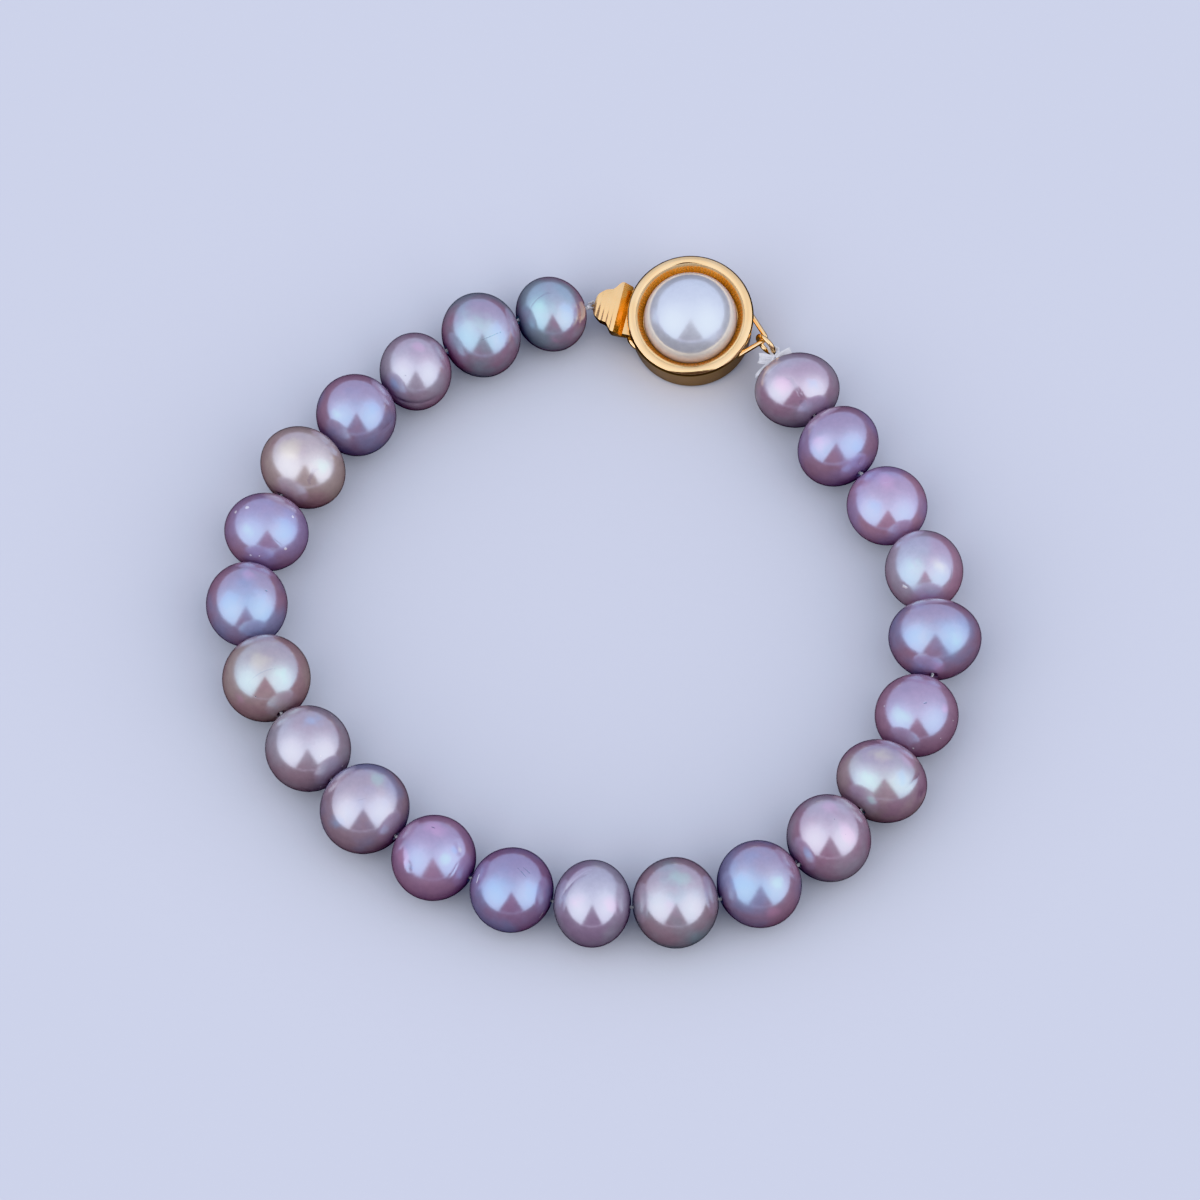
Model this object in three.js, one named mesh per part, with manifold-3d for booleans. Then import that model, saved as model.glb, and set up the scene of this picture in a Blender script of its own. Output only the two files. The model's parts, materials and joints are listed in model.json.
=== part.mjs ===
// Pearl bracelet with a round box clasp, lying closed in a ring on a flat surface.
// Millimetres, +Z up. The origin is on the surface, under the middle of the bracelet's box.

import * as THREE from 'three';
import { mergeVertices } from 'three/addons/utils/BufferGeometryUtils.js';
import Module from 'manifold-3d';

const wasm = await Module();
wasm.setup();

// Pearls

const PEARL_SIZE = 8; // nominal diameter, which the shares below multiply
const PEARL_GAP = 0.1; // left between neighbours on the thread
const DRILL_DIAMETER = 0.9;
const PEARL_SIDES = 14;
const PEARL_RINGS = 10;
const DRILL_SIDES = 10;

// In the order of the thread, from the clasp's tongue round to its jump ring.
// along, wide and tall are diameters as shares of PEARL_SIZE: on the thread, across it in plan, and upright.
// turn is the angle in degrees from the thread to the pearl's own axis,
// and egg the share by which its far end narrows.
const PEARLS = [
  { along: 0.83, wide: 0.91, tall: 0.88, turn: 11, egg: 0 },
  { along: 0.92, wide: 1.02, tall: 1.03, turn: 0, egg: 0 },
  { along: 0.85, wide: 0.92, tall: 0.96, turn: -23, egg: 0 },
  { along: 0.94, wide: 0.97, tall: 1.02, turn: -8, egg: 0 },
  { along: 0.91, wide: 1.05, tall: 1.06, turn: 0, egg: 0 },
  { along: 0.91, wide: 1.0, tall: 0.97, turn: 7, egg: 0 },
  { along: 1.01, wide: 0.96, tall: 0.96, turn: 0, egg: 0 },
  { along: 1.01, wide: 1.04, tall: 1.08, turn: 4, egg: 0 },
  { along: 1.01, wide: 1.0, tall: 1.03, turn: 0, egg: 0 },
  { along: 1.02, wide: 1.07, tall: 1.08, turn: 0, egg: 0 },
  { along: 0.98, wide: 1.0, tall: 1.03, turn: 0, egg: 0 },
  { along: 0.97, wide: 1.0, tall: 0.97, turn: -4, egg: 0 },
  { along: 0.9, wide: 1.02, tall: 1.02, turn: 4, egg: 0 },
  { along: 1.0, wide: 1.06, tall: 1.06, turn: 0, egg: 0 },
  { along: 0.98, wide: 1.03, tall: 1.02, turn: 0, egg: 0 },
  { along: 0.97, wide: 1.02, tall: 1.1, turn: -12, egg: 0 },
  { along: 0.93, wide: 1.08, tall: 1.06, turn: 8, egg: 0 },
  { along: 0.98, wide: 0.98, tall: 0.94, turn: 0, egg: 0 },
  { along: 0.93, wide: 1.09, tall: 1.09, turn: 0, egg: -0.06 },
  { along: 0.95, wide: 0.92, tall: 0.94, turn: 0, egg: 0 },
  { along: 0.96, wide: 0.95, tall: 0.85, turn: 5, egg: 0 },
  { along: 0.88, wide: 1.01, tall: 1.03, turn: 4, egg: 0 },
  { along: 0.87, wide: 1.01, tall: 0.96, turn: -21, egg: 0 },
];

// The closed route of the string on the surface, seen from above, from the clasp's middle round to it again.
// Only its shape counts, because it is brought to the length that the pearls and the clasp take up.
const ROUTE = [
  [8.6, 29.6],
  [-4.8, 30.3],
  [-17.5, 24],
  [-23.2, 19.1],
  [-28.1, 13.4],
  [-33, -0.4],
  [-27.1, -15.4],
  [-15.3, -26.6],
  [-0.6, -31.2],
  [14.7, -29.2],
  [26.1, -18.8],
  [31.2, -4.4],
  [30.2, 3.6],
  [26.7, 10.5],
  [22.2, 16.3],
  [18.5, 22.2],
];
const ROUTE_DIVISIONS = 4000;

// Thread

const THREAD_DIAMETER = 0.32;
const THREAD_SIDES = 6;
const THREAD_STEP = 1.3;
const THREAD_MOUTH_INSET = 0.8; // how far inside each drilled mouth the thread is on the drill's line again
const TONGUE_KNOT_DIAMETER = 0.5;
const RING_KNOT_DIAMETER = 0.9;
const KNOT_GAP = 0.05;
const LOOP_GAP = 0.07; // between the thread's loops and the wire that they go round
const LOOP_STEPS = 16;
const LOOP_LEGS = 0.62; // from a knot's middle to each leg of its loop, as a share of the thread's diameter
// Along a loop, from its wire's middle, as shares of the loop's reach: where its legs close in,
// where they turn, and its crown.
const LOOP_CLOSES = 0.35;
const LOOP_TURNS = 0.45;
const LOOP_CROWN = 1.1;

// Clasp: a round box with a rounded rim, which holds half a pearl in its top

const BOX_WALL = 0.5;
const BOX_EDGE_RADIUS = 0.35;
const BOX_EDGE_STEPS = 3;
const BOX_SIDES = 40;
const FLOOR_THICKNESS = 0.5;
const CAVITY_HEIGHT = 2.15;
const DECK_THICKNESS = 0.5;
const RIM_WIDTH = 1.12; // of the rim's round section
const RIM_HEIGHT = 4.1; // middle of the rounded rim above the underside
const RIM_OVERHANG = 0.3; // past the wall
const RIM_FOOT = -55; // degrees round the rim's section, where the wall runs into it
const RIM_ARC_STEPS = 8;
const SEAT_SLOPE = 60; // degrees that the seat falls from the rim to the half pearl
const SEAT_WIDTH = 0.425; // of the slope, seen from above
const AXIS_BELOW_DECK = 0.3; // of the clasp's axis under the cavity's roof

const CLASP_PEARL_DIAMETER = 8.9;
const CLASP_PEARL_HEIGHT = 4.7;
const CLASP_PEARL_GAP = 0.06; // over the deck
const CLASP_PEARL_CLEARANCE = 0.08; // round it, inside its seat
const CLASP_PEARL_SIDES = 28;
const CLASP_PEARL_RINGS = 9;

const CLASP_TURN = 6; // degrees from the route to the clasp's own axis
const CLASP_TILT = 10; // degrees that the clasp leans towards the wrist, on its underside's inner edge

// Tongue: a strip folded back in the box, with a fluted thumb piece above and the thread's eye below

const TONGUE_WIDTH = 4.4;
const TONGUE_OFFSET = -0.3; // sideways from the clasp's axis, slot and all
const LEAF_THICKNESS = 0.35;
const LEAF_SPREAD = 0.5; // free space between the two leaves at the slot
const LEAF_DEPTH = 8.2; // how far the folded strip goes in past the box's wall
const LEAF_BELOW_AXIS = 1.4; // underside of the lower leaf
const FOLD_LENGTH = 1.05; // where the two leaves lie together at the fold
const FOLD_GAP = 0.05;
const SLOT_CLEARANCE = 0.3;

const THUMB_WIDTH = 5;
const THUMB_LENGTH = 3.2; // from the tip to the foot of the slope behind the crest
const THUMB_TO_RIM = 0.12; // from that foot to the rim
const THUMB_RISE = 1.05; // crest over the upper leaf
const THUMB_TIP_THICKNESS = 0.3;
const THUMB_BOW = 0.8; // power of the rise from the tip to the crest, which bows it up under 1
const THUMB_UNDERCUT = 0.3; // share of its length over which its underside comes up to the tip
const THUMB_LAP = 0.1; // how far it and the strip's leaves run into each other
const CREST_FLAT = 0.05; // behind the last flute
const BACK_RUN = 0.8; // of the slope behind the crest, seen from above
const BACK_STEP = 0.15; // at its foot
const FLUTES = 5;
const FLUTE_DEPTH = 0.09;
const FLUTE_STEPS = 6;

// Half outline of the thumb piece from above: back is the share of THUMB_LENGTH from the tip,
// half the share of THUMB_WIDTH on either side.
const THUMB_OUTLINE = [
  { back: 0, half: 0.1 },
  { back: 0.035, half: 0.18 },
  { back: 0.12, half: 0.245 },
  { back: 0.275, half: 0.31 },
  { back: 0.44, half: 0.335 },
  { back: 0.53, half: 0.38 },
  { back: 0.62, half: 0.46 },
  { back: 0.73, half: 0.5 },
  { back: 1, half: 0.5 },
];
const LOWER_LEAF_SHARE = 0.78; // of the thumb piece's outline, which the lower leaf repeats outside the box

const EYE_WIRE = 0.32;
const EYE_HOLE = 0.52;
const EYE_OVERHANG = 0.36; // how far the eye stands out past the thumb piece's tip
const EYE_STEPS = 14;
const TONGUE_ROOM = 0.75; // from the thumb piece's tip to the first pearl, for the thread's loop

// Bail, jump ring and release tab on the other wall of the box

const BAIL_WIRE = 0.45;
const BAIL_REACH = 1.7; // from the box's wall to the middle of the wire at the corner
const BAIL_SPREAD = 5.2; // between the two legs at the wall
const BAIL_CORNER_SHARE = 0.12; // part of each leg that the rounded corner takes
const BAIL_STEPS = 16;
const WIRE_SIDES = 6;

const RING_WIRE = 0.45;
const RING_HOLE = 1.6;
const RING_STEPS = 14;
const RING_TURN = -31; // degrees from the clasp's axis
const RING_SEAT = 0.52; // along the bail's leg, from the corner to where the ring hangs
const RING_PLAY = 0.1;
const RING_TUCK = 0.85; // how far the ring lies back beside the bail, off the string's length

const TAB_LENGTH = 1.5;
const TAB_THICKNESS = 0.55;
const TAB_OVERHANG = 0.12; // of the tab's middle past the wall
const TAB_BEARING = 210; // degrees round the box from the bail
const TAB_SPLAY = 22; // degrees that its free end turns out from the wall
const TAB_HEIGHT = 1.1; // above the underside
const TAB_SIDES = 10;
const TAB_RINGS = 6;

const MERGE_DISTANCE = 1e-5; // corners nearer than this are one

const UP = new THREE.Vector3(0, 0, 1);
const seatSlope = THREE.MathUtils.degToRad(SEAT_SLOPE);
const seatFoot = CLASP_PEARL_DIAMETER / 2 + CLASP_PEARL_CLEARANCE;
const rimTube = RIM_WIDTH / 2;
const rimRing = seatFoot + SEAT_WIDTH + rimTube * Math.sin(seatSlope);
const rimRadius = rimRing + rimTube;
const boxRadius = rimRadius - RIM_OVERHANG;
const axisHeight = FLOOR_THICKNESS + CAVITY_HEIGHT - AXIS_BELOW_DECK; // over the clasp's underside

const pearlMaterial = new THREE.MeshStandardMaterial({ color: 0xa493b4, roughness: 0.22, metalness: 0.1 });
const whitePearlMaterial = new THREE.MeshStandardMaterial({ color: 0xdfe1ec, roughness: 0.15, metalness: 0 });
const goldMaterial = new THREE.MeshStandardMaterial({ color: 0xe3b662, roughness: 0.16, metalness: 1 });
const threadMaterial = new THREE.MeshStandardMaterial({ color: 0xc9c4cc, roughness: 0.6, metalness: 0 });

// Solids

function solidOf(geometry) {
  const bare = geometry.clone();
  bare.deleteAttribute('normal');
  bare.deleteAttribute('uv');
  const merged = mergeVertices(bare, MERGE_DISTANCE);
  const corners = merged.index.array;
  const triangles = [];
  for (let i = 0; i < corners.length; i += 3) {
    const [a, b, c] = corners.subarray(i, i + 3);
    if (a !== b && b !== c && c !== a) triangles.push(a, b, c);
  }
  const mesh = new wasm.Mesh({
    numProp: 3,
    vertProperties: new Float32Array(merged.attributes.position.array),
    triVerts: new Uint32Array(triangles),
  });
  return new wasm.Manifold(mesh);
}

function geometryOf(solid) {
  const mesh = solid.getMesh();
  const geometry = new THREE.BufferGeometry();
  geometry.setAttribute('position', new THREE.Float32BufferAttribute(mesh.vertProperties, 3));
  geometry.setIndex(new THREE.Uint32BufferAttribute(mesh.triVerts, 1));
  return geometry;
}

function piece(name, solid, material) {
  const mesh = new THREE.Mesh(geometryOf(solid), material);
  mesh.name = name;
  return mesh;
}

function extruded(points, depth) {
  return new THREE.ExtrudeGeometry(new THREE.Shape(points), { depth, bevelEnabled: false, curveSegments: 1 });
}

// A prism whose outline is drawn in x and z, and whose thickness is centred on y.
function prismAcross(points, width) {
  return extruded(points, width).rotateX(Math.PI / 2).translate(0, width / 2, 0);
}

function roundSection(diameter, sides) {
  const points = [];
  for (let i = 0; i < sides; i++) {
    const angle = ((i + 0.5) / sides) * Math.PI * 2;
    points.push(new THREE.Vector2(Math.cos(angle), Math.sin(angle)).multiplyScalar(diameter / 2));
  }
  return new THREE.Shape(points);
}

function wireAlong(path, diameter, sides, steps) {
  const section = roundSection(diameter, sides);
  return new THREE.ExtrudeGeometry(section, { steps, extrudePath: path, bevelEnabled: false });
}

// A solid turned about Z from a profile of [radius, height] that runs up its outside.
function turned(profile, sides) {
  const points = profile.map(([radius, height]) => new THREE.Vector2(radius, height));
  return new THREE.LatheGeometry(points, sides).rotateX(Math.PI / 2);
}

function arc(centreRadius, centreHeight, radius, from, to, steps) {
  const points = [];
  for (let i = 0; i <= steps; i++) {
    const angle = THREE.MathUtils.degToRad(from + ((to - from) * i) / steps);
    points.push([centreRadius + radius * Math.cos(angle), centreHeight + radius * Math.sin(angle)]);
  }
  return points;
}

// Where each pearl sits

function halfLength({ along, wide, turn }) {
  const angle = THREE.MathUtils.degToRad(turn);
  return (PEARL_SIZE / 2) * Math.hypot(along * Math.cos(angle), wide * Math.sin(angle));
}

const thumbBack = rimRadius + THUMB_TO_RIM;
const thumbTip = thumbBack + THUMB_LENGTH;
const tongueSpan = thumbTip + TONGUE_ROOM;
const ringSpan = boxRadius + BAIL_REACH + RING_HOLE + 2 * RING_WIRE - RING_TUCK;

function stringLength() {
  const pearls = PEARLS.reduce((sum, row) => sum + 2 * halfLength(row) + PEARL_GAP, -PEARL_GAP);
  return tongueSpan + pearls + ringSpan;
}

function makeRoute(length) {
  const shape = new THREE.CatmullRomCurve3(ROUTE.map(([x, y]) => new THREE.Vector3(x, y, 0)), true);
  shape.arcLengthDivisions = ROUTE_DIVISIONS;
  const scale = length / shape.getLength();
  const points = ROUTE.map(([x, y]) => new THREE.Vector3(x * scale, y * scale, 0));
  const route = new THREE.CatmullRomCurve3(points, true);
  route.arcLengthDivisions = ROUTE_DIVISIONS;
  return route;
}

const routeLength = stringLength();
const route = makeRoute(routeLength);

function placePearls() {
  const places = [];
  let travelled = tongueSpan;
  for (const row of PEARLS) {
    travelled += halfLength(row);
    const share = travelled / routeLength;
    const centre = route.getPointAt(share);
    centre.z = (PEARL_SIZE * row.tall) / 2;
    places.push({ row, centre, heading: route.getTangentAt(share) });
    travelled += halfLength(row) + PEARL_GAP;
  }
  // Each drilling also leans with the heights of its neighbours.
  places.forEach((place, i) => {
    const before = places[Math.max(i - 1, 0)].centre;
    const after = places[Math.min(i + 1, places.length - 1)].centre;
    const slope = (after.z - before.z) / Math.hypot(after.x - before.x, after.y - before.y);
    place.drill = place.heading.clone().setZ(slope).normalize();
  });
  return places;
}

const pearlPlaces = placePearls();

function mouth(place, side) {
  return place.centre.clone().addScaledVector(place.drill, side * halfLength(place.row));
}

function makePearl({ row, heading, drill }, name, centre) {
  const body = new THREE.SphereGeometry(PEARL_SIZE / 2, PEARL_SIDES, PEARL_RINGS)
    .rotateZ(-Math.PI / 2)
    .rotateX(Math.PI / 2);
  const position = body.attributes.position;
  for (let i = 0; i < position.count; i++) {
    const narrowing = 1 - (row.egg * position.getX(i)) / (PEARL_SIZE / 2);
    position.setY(i, position.getY(i) * narrowing);
    position.setZ(i, position.getZ(i) * narrowing);
  }
  const yaw = Math.atan2(heading.y, heading.x);
  body.scale(row.along, row.wide, row.tall).rotateZ(yaw + THREE.MathUtils.degToRad(row.turn));
  const drillRadius = DRILL_DIAMETER / 2;
  const hole = new THREE.CylinderGeometry(drillRadius, drillRadius, 2 * PEARL_SIZE, DRILL_SIDES);
  hole.applyQuaternion(new THREE.Quaternion().setFromUnitVectors(new THREE.Vector3(0, 1, 0), drill));
  const pearl = piece(name, solidOf(body).subtract(solidOf(hole)), pearlMaterial);
  pearl.position.copy(centre);
  return pearl;
}

// Clasp, in its own frame: x along its axis towards the bail, z up out of the half pearl,
// and the origin where its axis passes the middle of the box.

function makeBox() {
  const deck = FLOOR_THICKNESS + CAVITY_HEIGHT + DECK_THICKNESS;
  const seatTop = RIM_HEIGHT + rimTube * Math.cos(seatSlope);
  const outside = turned([
    [0, 0],
    ...arc(boxRadius - BOX_EDGE_RADIUS, BOX_EDGE_RADIUS, BOX_EDGE_RADIUS, -90, 0, BOX_EDGE_STEPS),
    ...arc(rimRing, RIM_HEIGHT, rimTube, RIM_FOOT, 90 + SEAT_SLOPE, RIM_ARC_STEPS),
    [seatFoot, seatTop - SEAT_WIDTH * Math.tan(seatSlope)],
    [seatFoot, deck],
    [0, deck],
  ], BOX_SIDES);
  const cavityRadius = boxRadius - BOX_WALL;
  const cavity = new THREE.CylinderGeometry(cavityRadius, cavityRadius, CAVITY_HEIGHT, BOX_SIDES)
    .rotateX(Math.PI / 2)
    .translate(0, 0, FLOOR_THICKNESS + CAVITY_HEIGHT / 2);
  const slotWidth = TONGUE_WIDTH + 2 * SLOT_CLEARANCE;
  const slot = new THREE.BoxGeometry(boxRadius, slotWidth, CAVITY_HEIGHT)
    .translate(-boxRadius, TONGUE_OFFSET, FLOOR_THICKNESS + CAVITY_HEIGHT / 2);
  return solidOf(outside)
    .subtract(solidOf(cavity))
    .subtract(solidOf(slot))
    .translate([0, 0, -axisHeight]);
}

function bailCorner() {
  return new THREE.Vector3(boxRadius + BAIL_REACH, 0, 0);
}

function bailFoot(side) {
  const y = (side * BAIL_SPREAD) / 2;
  const inWall = boxRadius - BOX_WALL / 2;
  return new THREE.Vector3(Math.sqrt(inWall * inWall - y * y), y, 0);
}

function makeBail() {
  const corner = bailCorner();
  const near = bailFoot(-1);
  const far = bailFoot(1);
  const path = new THREE.CurvePath();
  const bendStart = corner.clone().lerp(near, BAIL_CORNER_SHARE);
  const bendEnd = corner.clone().lerp(far, BAIL_CORNER_SHARE);
  path.add(new THREE.LineCurve3(near, bendStart));
  path.add(new THREE.QuadraticBezierCurve3(bendStart, corner, bendEnd));
  path.add(new THREE.LineCurve3(bendEnd, far));
  return solidOf(wireAlong(path, BAIL_WIRE, WIRE_SIDES, BAIL_STEPS));
}

function makeTab() {
  const bearing = THREE.MathUtils.degToRad(TAB_BEARING);
  const tab = new THREE.SphereGeometry(1 / 2, TAB_SIDES, TAB_RINGS)
    .scale(TAB_THICKNESS, TAB_LENGTH, TAB_THICKNESS)
    .rotateZ(THREE.MathUtils.degToRad(TAB_SPLAY))
    .translate(boxRadius + TAB_OVERHANG, 0, TAB_HEIGHT - axisHeight)
    .rotateZ(bearing);
  return solidOf(tab);
}

function makeClaspBox() {
  return makeBox().add(makeBail()).add(makeTab());
}

function makeClaspPearl() {
  const base = FLOOR_THICKNESS + CAVITY_HEIGHT + DECK_THICKNESS + CLASP_PEARL_GAP - axisHeight;
  const radius = CLASP_PEARL_DIAMETER / 2;
  const dome = arc(0, 0, 1, 0, 90, CLASP_PEARL_RINGS).map(([across, up]) => [
    across * radius,
    base + up * CLASP_PEARL_HEIGHT,
  ]);
  dome[dome.length - 1][0] = 0;
  return solidOf(turned([[0, base], ...dome], CLASP_PEARL_SIDES));
}

// Tongue, in the clasp's frame, pointing along -x out of the slot

function thumbProfile(upperLeaf) {
  const points = [];
  const tipTop = upperLeaf + THUMB_TIP_THICKNESS;
  const crest = upperLeaf + THUMB_RISE;
  const steps = FLUTES * FLUTE_STEPS;
  for (let i = 0; i <= steps; i++) {
    const share = i / steps;
    const flute = Math.abs(Math.sin(share * FLUTES * Math.PI)) * FLUTE_DEPTH;
    const x = -thumbTip + share * (THUMB_LENGTH - BACK_RUN - CREST_FLAT);
    const rise = THREE.MathUtils.lerp(tipTop, crest, share ** THUMB_BOW);
    points.push(new THREE.Vector2(x, rise + flute));
  }
  points.push(new THREE.Vector2(-thumbBack - BACK_RUN, crest));
  points.push(new THREE.Vector2(-thumbBack, upperLeaf + BACK_STEP));
  points.push(new THREE.Vector2(-thumbBack, upperLeaf - LEAF_THICKNESS));
  points.push(new THREE.Vector2(-thumbTip + THUMB_LENGTH * THUMB_UNDERCUT, upperLeaf - LEAF_THICKNESS));
  points.push(new THREE.Vector2(-thumbTip, upperLeaf));
  return points;
}

function thumbOutline(share) {
  const side = (sign) => THUMB_OUTLINE.map(({ back, half }) => new THREE.Vector2(
    -thumbBack - share * THUMB_LENGTH * (1 - back),
    sign * half * THUMB_WIDTH * share,
  ));
  return [...side(-1), ...side(1).reverse()];
}

function makeTongue() {
  const lower = -LEAF_BELOW_AXIS;
  const upper = lower + 2 * LEAF_THICKNESS + LEAF_SPREAD; // top of the upper leaf
  const foldEnd = -boxRadius + LEAF_DEPTH;
  const foldMiddle = lower + LEAF_THICKNESS;
  const inThumb = -thumbBack - THUMB_LAP;
  const inBox = -boxRadius + BOX_WALL;
  const strip = prismAcross([
    new THREE.Vector2(inThumb, lower),
    new THREE.Vector2(foldEnd - LEAF_THICKNESS, lower),
    new THREE.Vector2(foldEnd, foldMiddle),
    new THREE.Vector2(foldEnd - LEAF_THICKNESS, foldMiddle + FOLD_GAP + LEAF_THICKNESS),
    new THREE.Vector2(inBox, upper),
    new THREE.Vector2(inThumb, upper),
    new THREE.Vector2(inThumb, upper - LEAF_THICKNESS),
    new THREE.Vector2(inBox, upper - LEAF_THICKNESS),
    new THREE.Vector2(foldEnd - FOLD_LENGTH, foldMiddle + FOLD_GAP / 2),
    new THREE.Vector2(inThumb, foldMiddle),
  ], TONGUE_WIDTH);
  const thumb = solidOf(prismAcross(thumbProfile(upper), THUMB_WIDTH))
    .intersect(solidOf(extruded(thumbOutline(1), 2 * boxRadius).translate(0, 0, -boxRadius)));
  const lowerLeaf = extruded(thumbOutline(LOWER_LEAF_SHARE), LEAF_THICKNESS).translate(0, 0, lower);
  return solidOf(strip).add(thumb).add(solidOf(lowerLeaf)).add(makeEye()).translate([0, TONGUE_OFFSET, 0]);
}

const eyeRing = (EYE_HOLE + EYE_WIRE) / 2;
const eyeCentre = new THREE.Vector3(
  -thumbTip - EYE_OVERHANG + eyeRing + EYE_WIRE / 2,
  TONGUE_OFFSET,
  LEAF_THICKNESS - LEAF_BELOW_AXIS + eyeRing - EYE_WIRE / 2,
);

function makeEye() {
  const eye = new THREE.TorusGeometry(eyeRing, EYE_WIRE / 2, WIRE_SIDES, EYE_STEPS).rotateX(Math.PI / 2);
  return solidOf(eye.translate(eyeCentre.x, 0, eyeCentre.z));
}

// Clasp group

const claspPoint = route.getPointAt(0);
const claspTangent = route.getTangentAt(0).negate();
const tilt = THREE.MathUtils.degToRad(CLASP_TILT);

const claspLean = new THREE.Group();
claspLean.rotation.x = tilt;
claspLean.add(piece('clasp_box', makeClaspBox(), goldMaterial));
claspLean.add(piece('clasp_pearl', makeClaspPearl(), whitePearlMaterial));
claspLean.add(piece('clasp_tongue', makeTongue(), goldMaterial));

const clasp = new THREE.Group();
clasp.rotation.z = Math.atan2(claspTangent.y, claspTangent.x) + THREE.MathUtils.degToRad(CLASP_TURN);
clasp.position.copy(claspPoint);
clasp.position.z = axisHeight * Math.cos(tilt) + boxRadius * Math.sin(tilt);
clasp.add(claspLean);
clasp.updateMatrixWorld(true);

// Jump ring, upright, hanging on the bail's inner leg

const ringMiddle = (RING_HOLE + RING_WIRE) / 2;
const ringYaw = clasp.rotation.z + THREE.MathUtils.degToRad(RING_TURN);
const ringHeading = new THREE.Vector3(Math.cos(ringYaw), Math.sin(ringYaw), 0);
const legHeading = bailFoot(-1).sub(bailCorner()).normalize();
const ringSeat = claspLean.localToWorld(bailCorner().addScaledVector(legHeading, RING_SEAT));
const ringHang = RING_HOLE / 2 - BAIL_WIRE / 2 - RING_PLAY;
const ringCentre = ringSeat.clone().addScaledVector(ringHeading, ringHang);

function makeJumpRing() {
  const geometry = new THREE.TorusGeometry(ringMiddle, RING_WIRE / 2, WIRE_SIDES, RING_STEPS);
  const ring = piece('jump_ring', solidOf(geometry.rotateX(Math.PI / 2)), goldMaterial);
  ring.rotation.z = ringYaw;
  ring.position.copy(ringCentre);
  return ring;
}

// Thread: through every pearl, with a knot and a loop at either end

// A loop that leaves a knot, goes through a ring, round its outer wire and back.
// out points from the ring's middle to that wire, and through along the ring's own axis.
function threadLoop(knot, wire, wireDiameter, out, through) {
  const reach = (wireDiameter + THREAD_DIAMETER) / 2 + LOOP_GAP;
  const away = Math.sign(wire.clone().sub(knot).dot(through));
  const beyond = through.clone().multiplyScalar(away * reach);
  const inside = wire.clone().addScaledVector(out, -reach);
  const outside = wire.clone().addScaledVector(out, reach);
  const apart = THREAD_DIAMETER * LOOP_LEGS;
  const points = [
    knot.clone().addScaledVector(out, -apart),
    inside.clone().addScaledVector(beyond, -LOOP_CLOSES),
    inside.clone().addScaledVector(beyond, LOOP_TURNS),
    wire.clone().addScaledVector(beyond, LOOP_CROWN),
    outside.clone().addScaledVector(beyond, LOOP_TURNS),
    outside.clone().addScaledVector(beyond, -LOOP_CLOSES),
    knot.clone().addScaledVector(out, apart),
  ];
  const path = new THREE.CatmullRomCurve3(points, false, 'centripetal');
  return solidOf(wireAlong(path, THREAD_DIAMETER, THREAD_SIDES, LOOP_STEPS));
}

function knotAt(point, diameter) {
  return solidOf(new THREE.IcosahedronGeometry(diameter / 2, 1)).translate(point.toArray());
}

function makeThread() {
  const first = pearlPlaces[0];
  const last = pearlPlaces[pearlPlaces.length - 1];
  const tongueKnot = mouth(first, -1).addScaledVector(first.drill, -TONGUE_KNOT_DIAMETER / 2 - KNOT_GAP);
  const ringKnot = mouth(last, 1).addScaledVector(last.drill, RING_KNOT_DIAMETER / 2 + KNOT_GAP);
  const points = [tongueKnot];
  for (const place of pearlPlaces) {
    const inset = halfLength(place.row) - THREAD_MOUTH_INSET;
    points.push(place.centre.clone().addScaledVector(place.drill, -inset));
    points.push(place.centre.clone().addScaledVector(place.drill, inset));
  }
  points.push(ringKnot);
  const path = new THREE.CatmullRomCurve3(points, false, 'centripetal');
  path.arcLengthDivisions = ROUTE_DIVISIONS;
  const steps = Math.round(path.getLength() / THREAD_STEP);
  const string = solidOf(wireAlong(path, THREAD_DIAMETER, THREAD_SIDES, steps));

  const eyeOut = new THREE.Vector3(-1, 0, 0).transformDirection(claspLean.matrixWorld);
  const eyeThrough = new THREE.Vector3(0, 1, 0).transformDirection(claspLean.matrixWorld);
  const eyeWire = claspLean.localToWorld(eyeCentre.clone()).addScaledVector(eyeOut, eyeRing);
  const ringWire = ringCentre.clone().addScaledVector(ringHeading, ringMiddle);
  const ringThrough = new THREE.Vector3().crossVectors(UP, ringHeading);
  return string
    .add(knotAt(tongueKnot, TONGUE_KNOT_DIAMETER))
    .add(knotAt(ringKnot, RING_KNOT_DIAMETER))
    .add(threadLoop(tongueKnot, eyeWire, EYE_WIRE, eyeOut, eyeThrough))
    .add(threadLoop(ringKnot, ringWire, RING_WIRE, ringHeading, ringThrough));
}

// Bracelet

const bracelet = new THREE.Group();
pearlPlaces.forEach((place, i) => {
  const name = `pearl_${String(i + 1).padStart(2, '0')}`;
  bracelet.add(makePearl(place, name, place.centre));
});
bracelet.add(clasp);
bracelet.add(makeJumpRing());
bracelet.add(piece('thread', makeThread(), threadMaterial));

bracelet.updateMatrixWorld(true);
const middle = new THREE.Box3().setFromObject(bracelet, true).getCenter(new THREE.Vector3());
bracelet.position.set(-middle.x, -middle.y, 0);

export default bracelet;
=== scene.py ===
"""Looks of a closed pearl bracelet lying in a ring: lavender pearls on silk, with a round gold box clasp."""

import json
import math
from collections import namedtuple

import bmesh
import bpy
from mathutils import Matrix, Vector, noise


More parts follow.
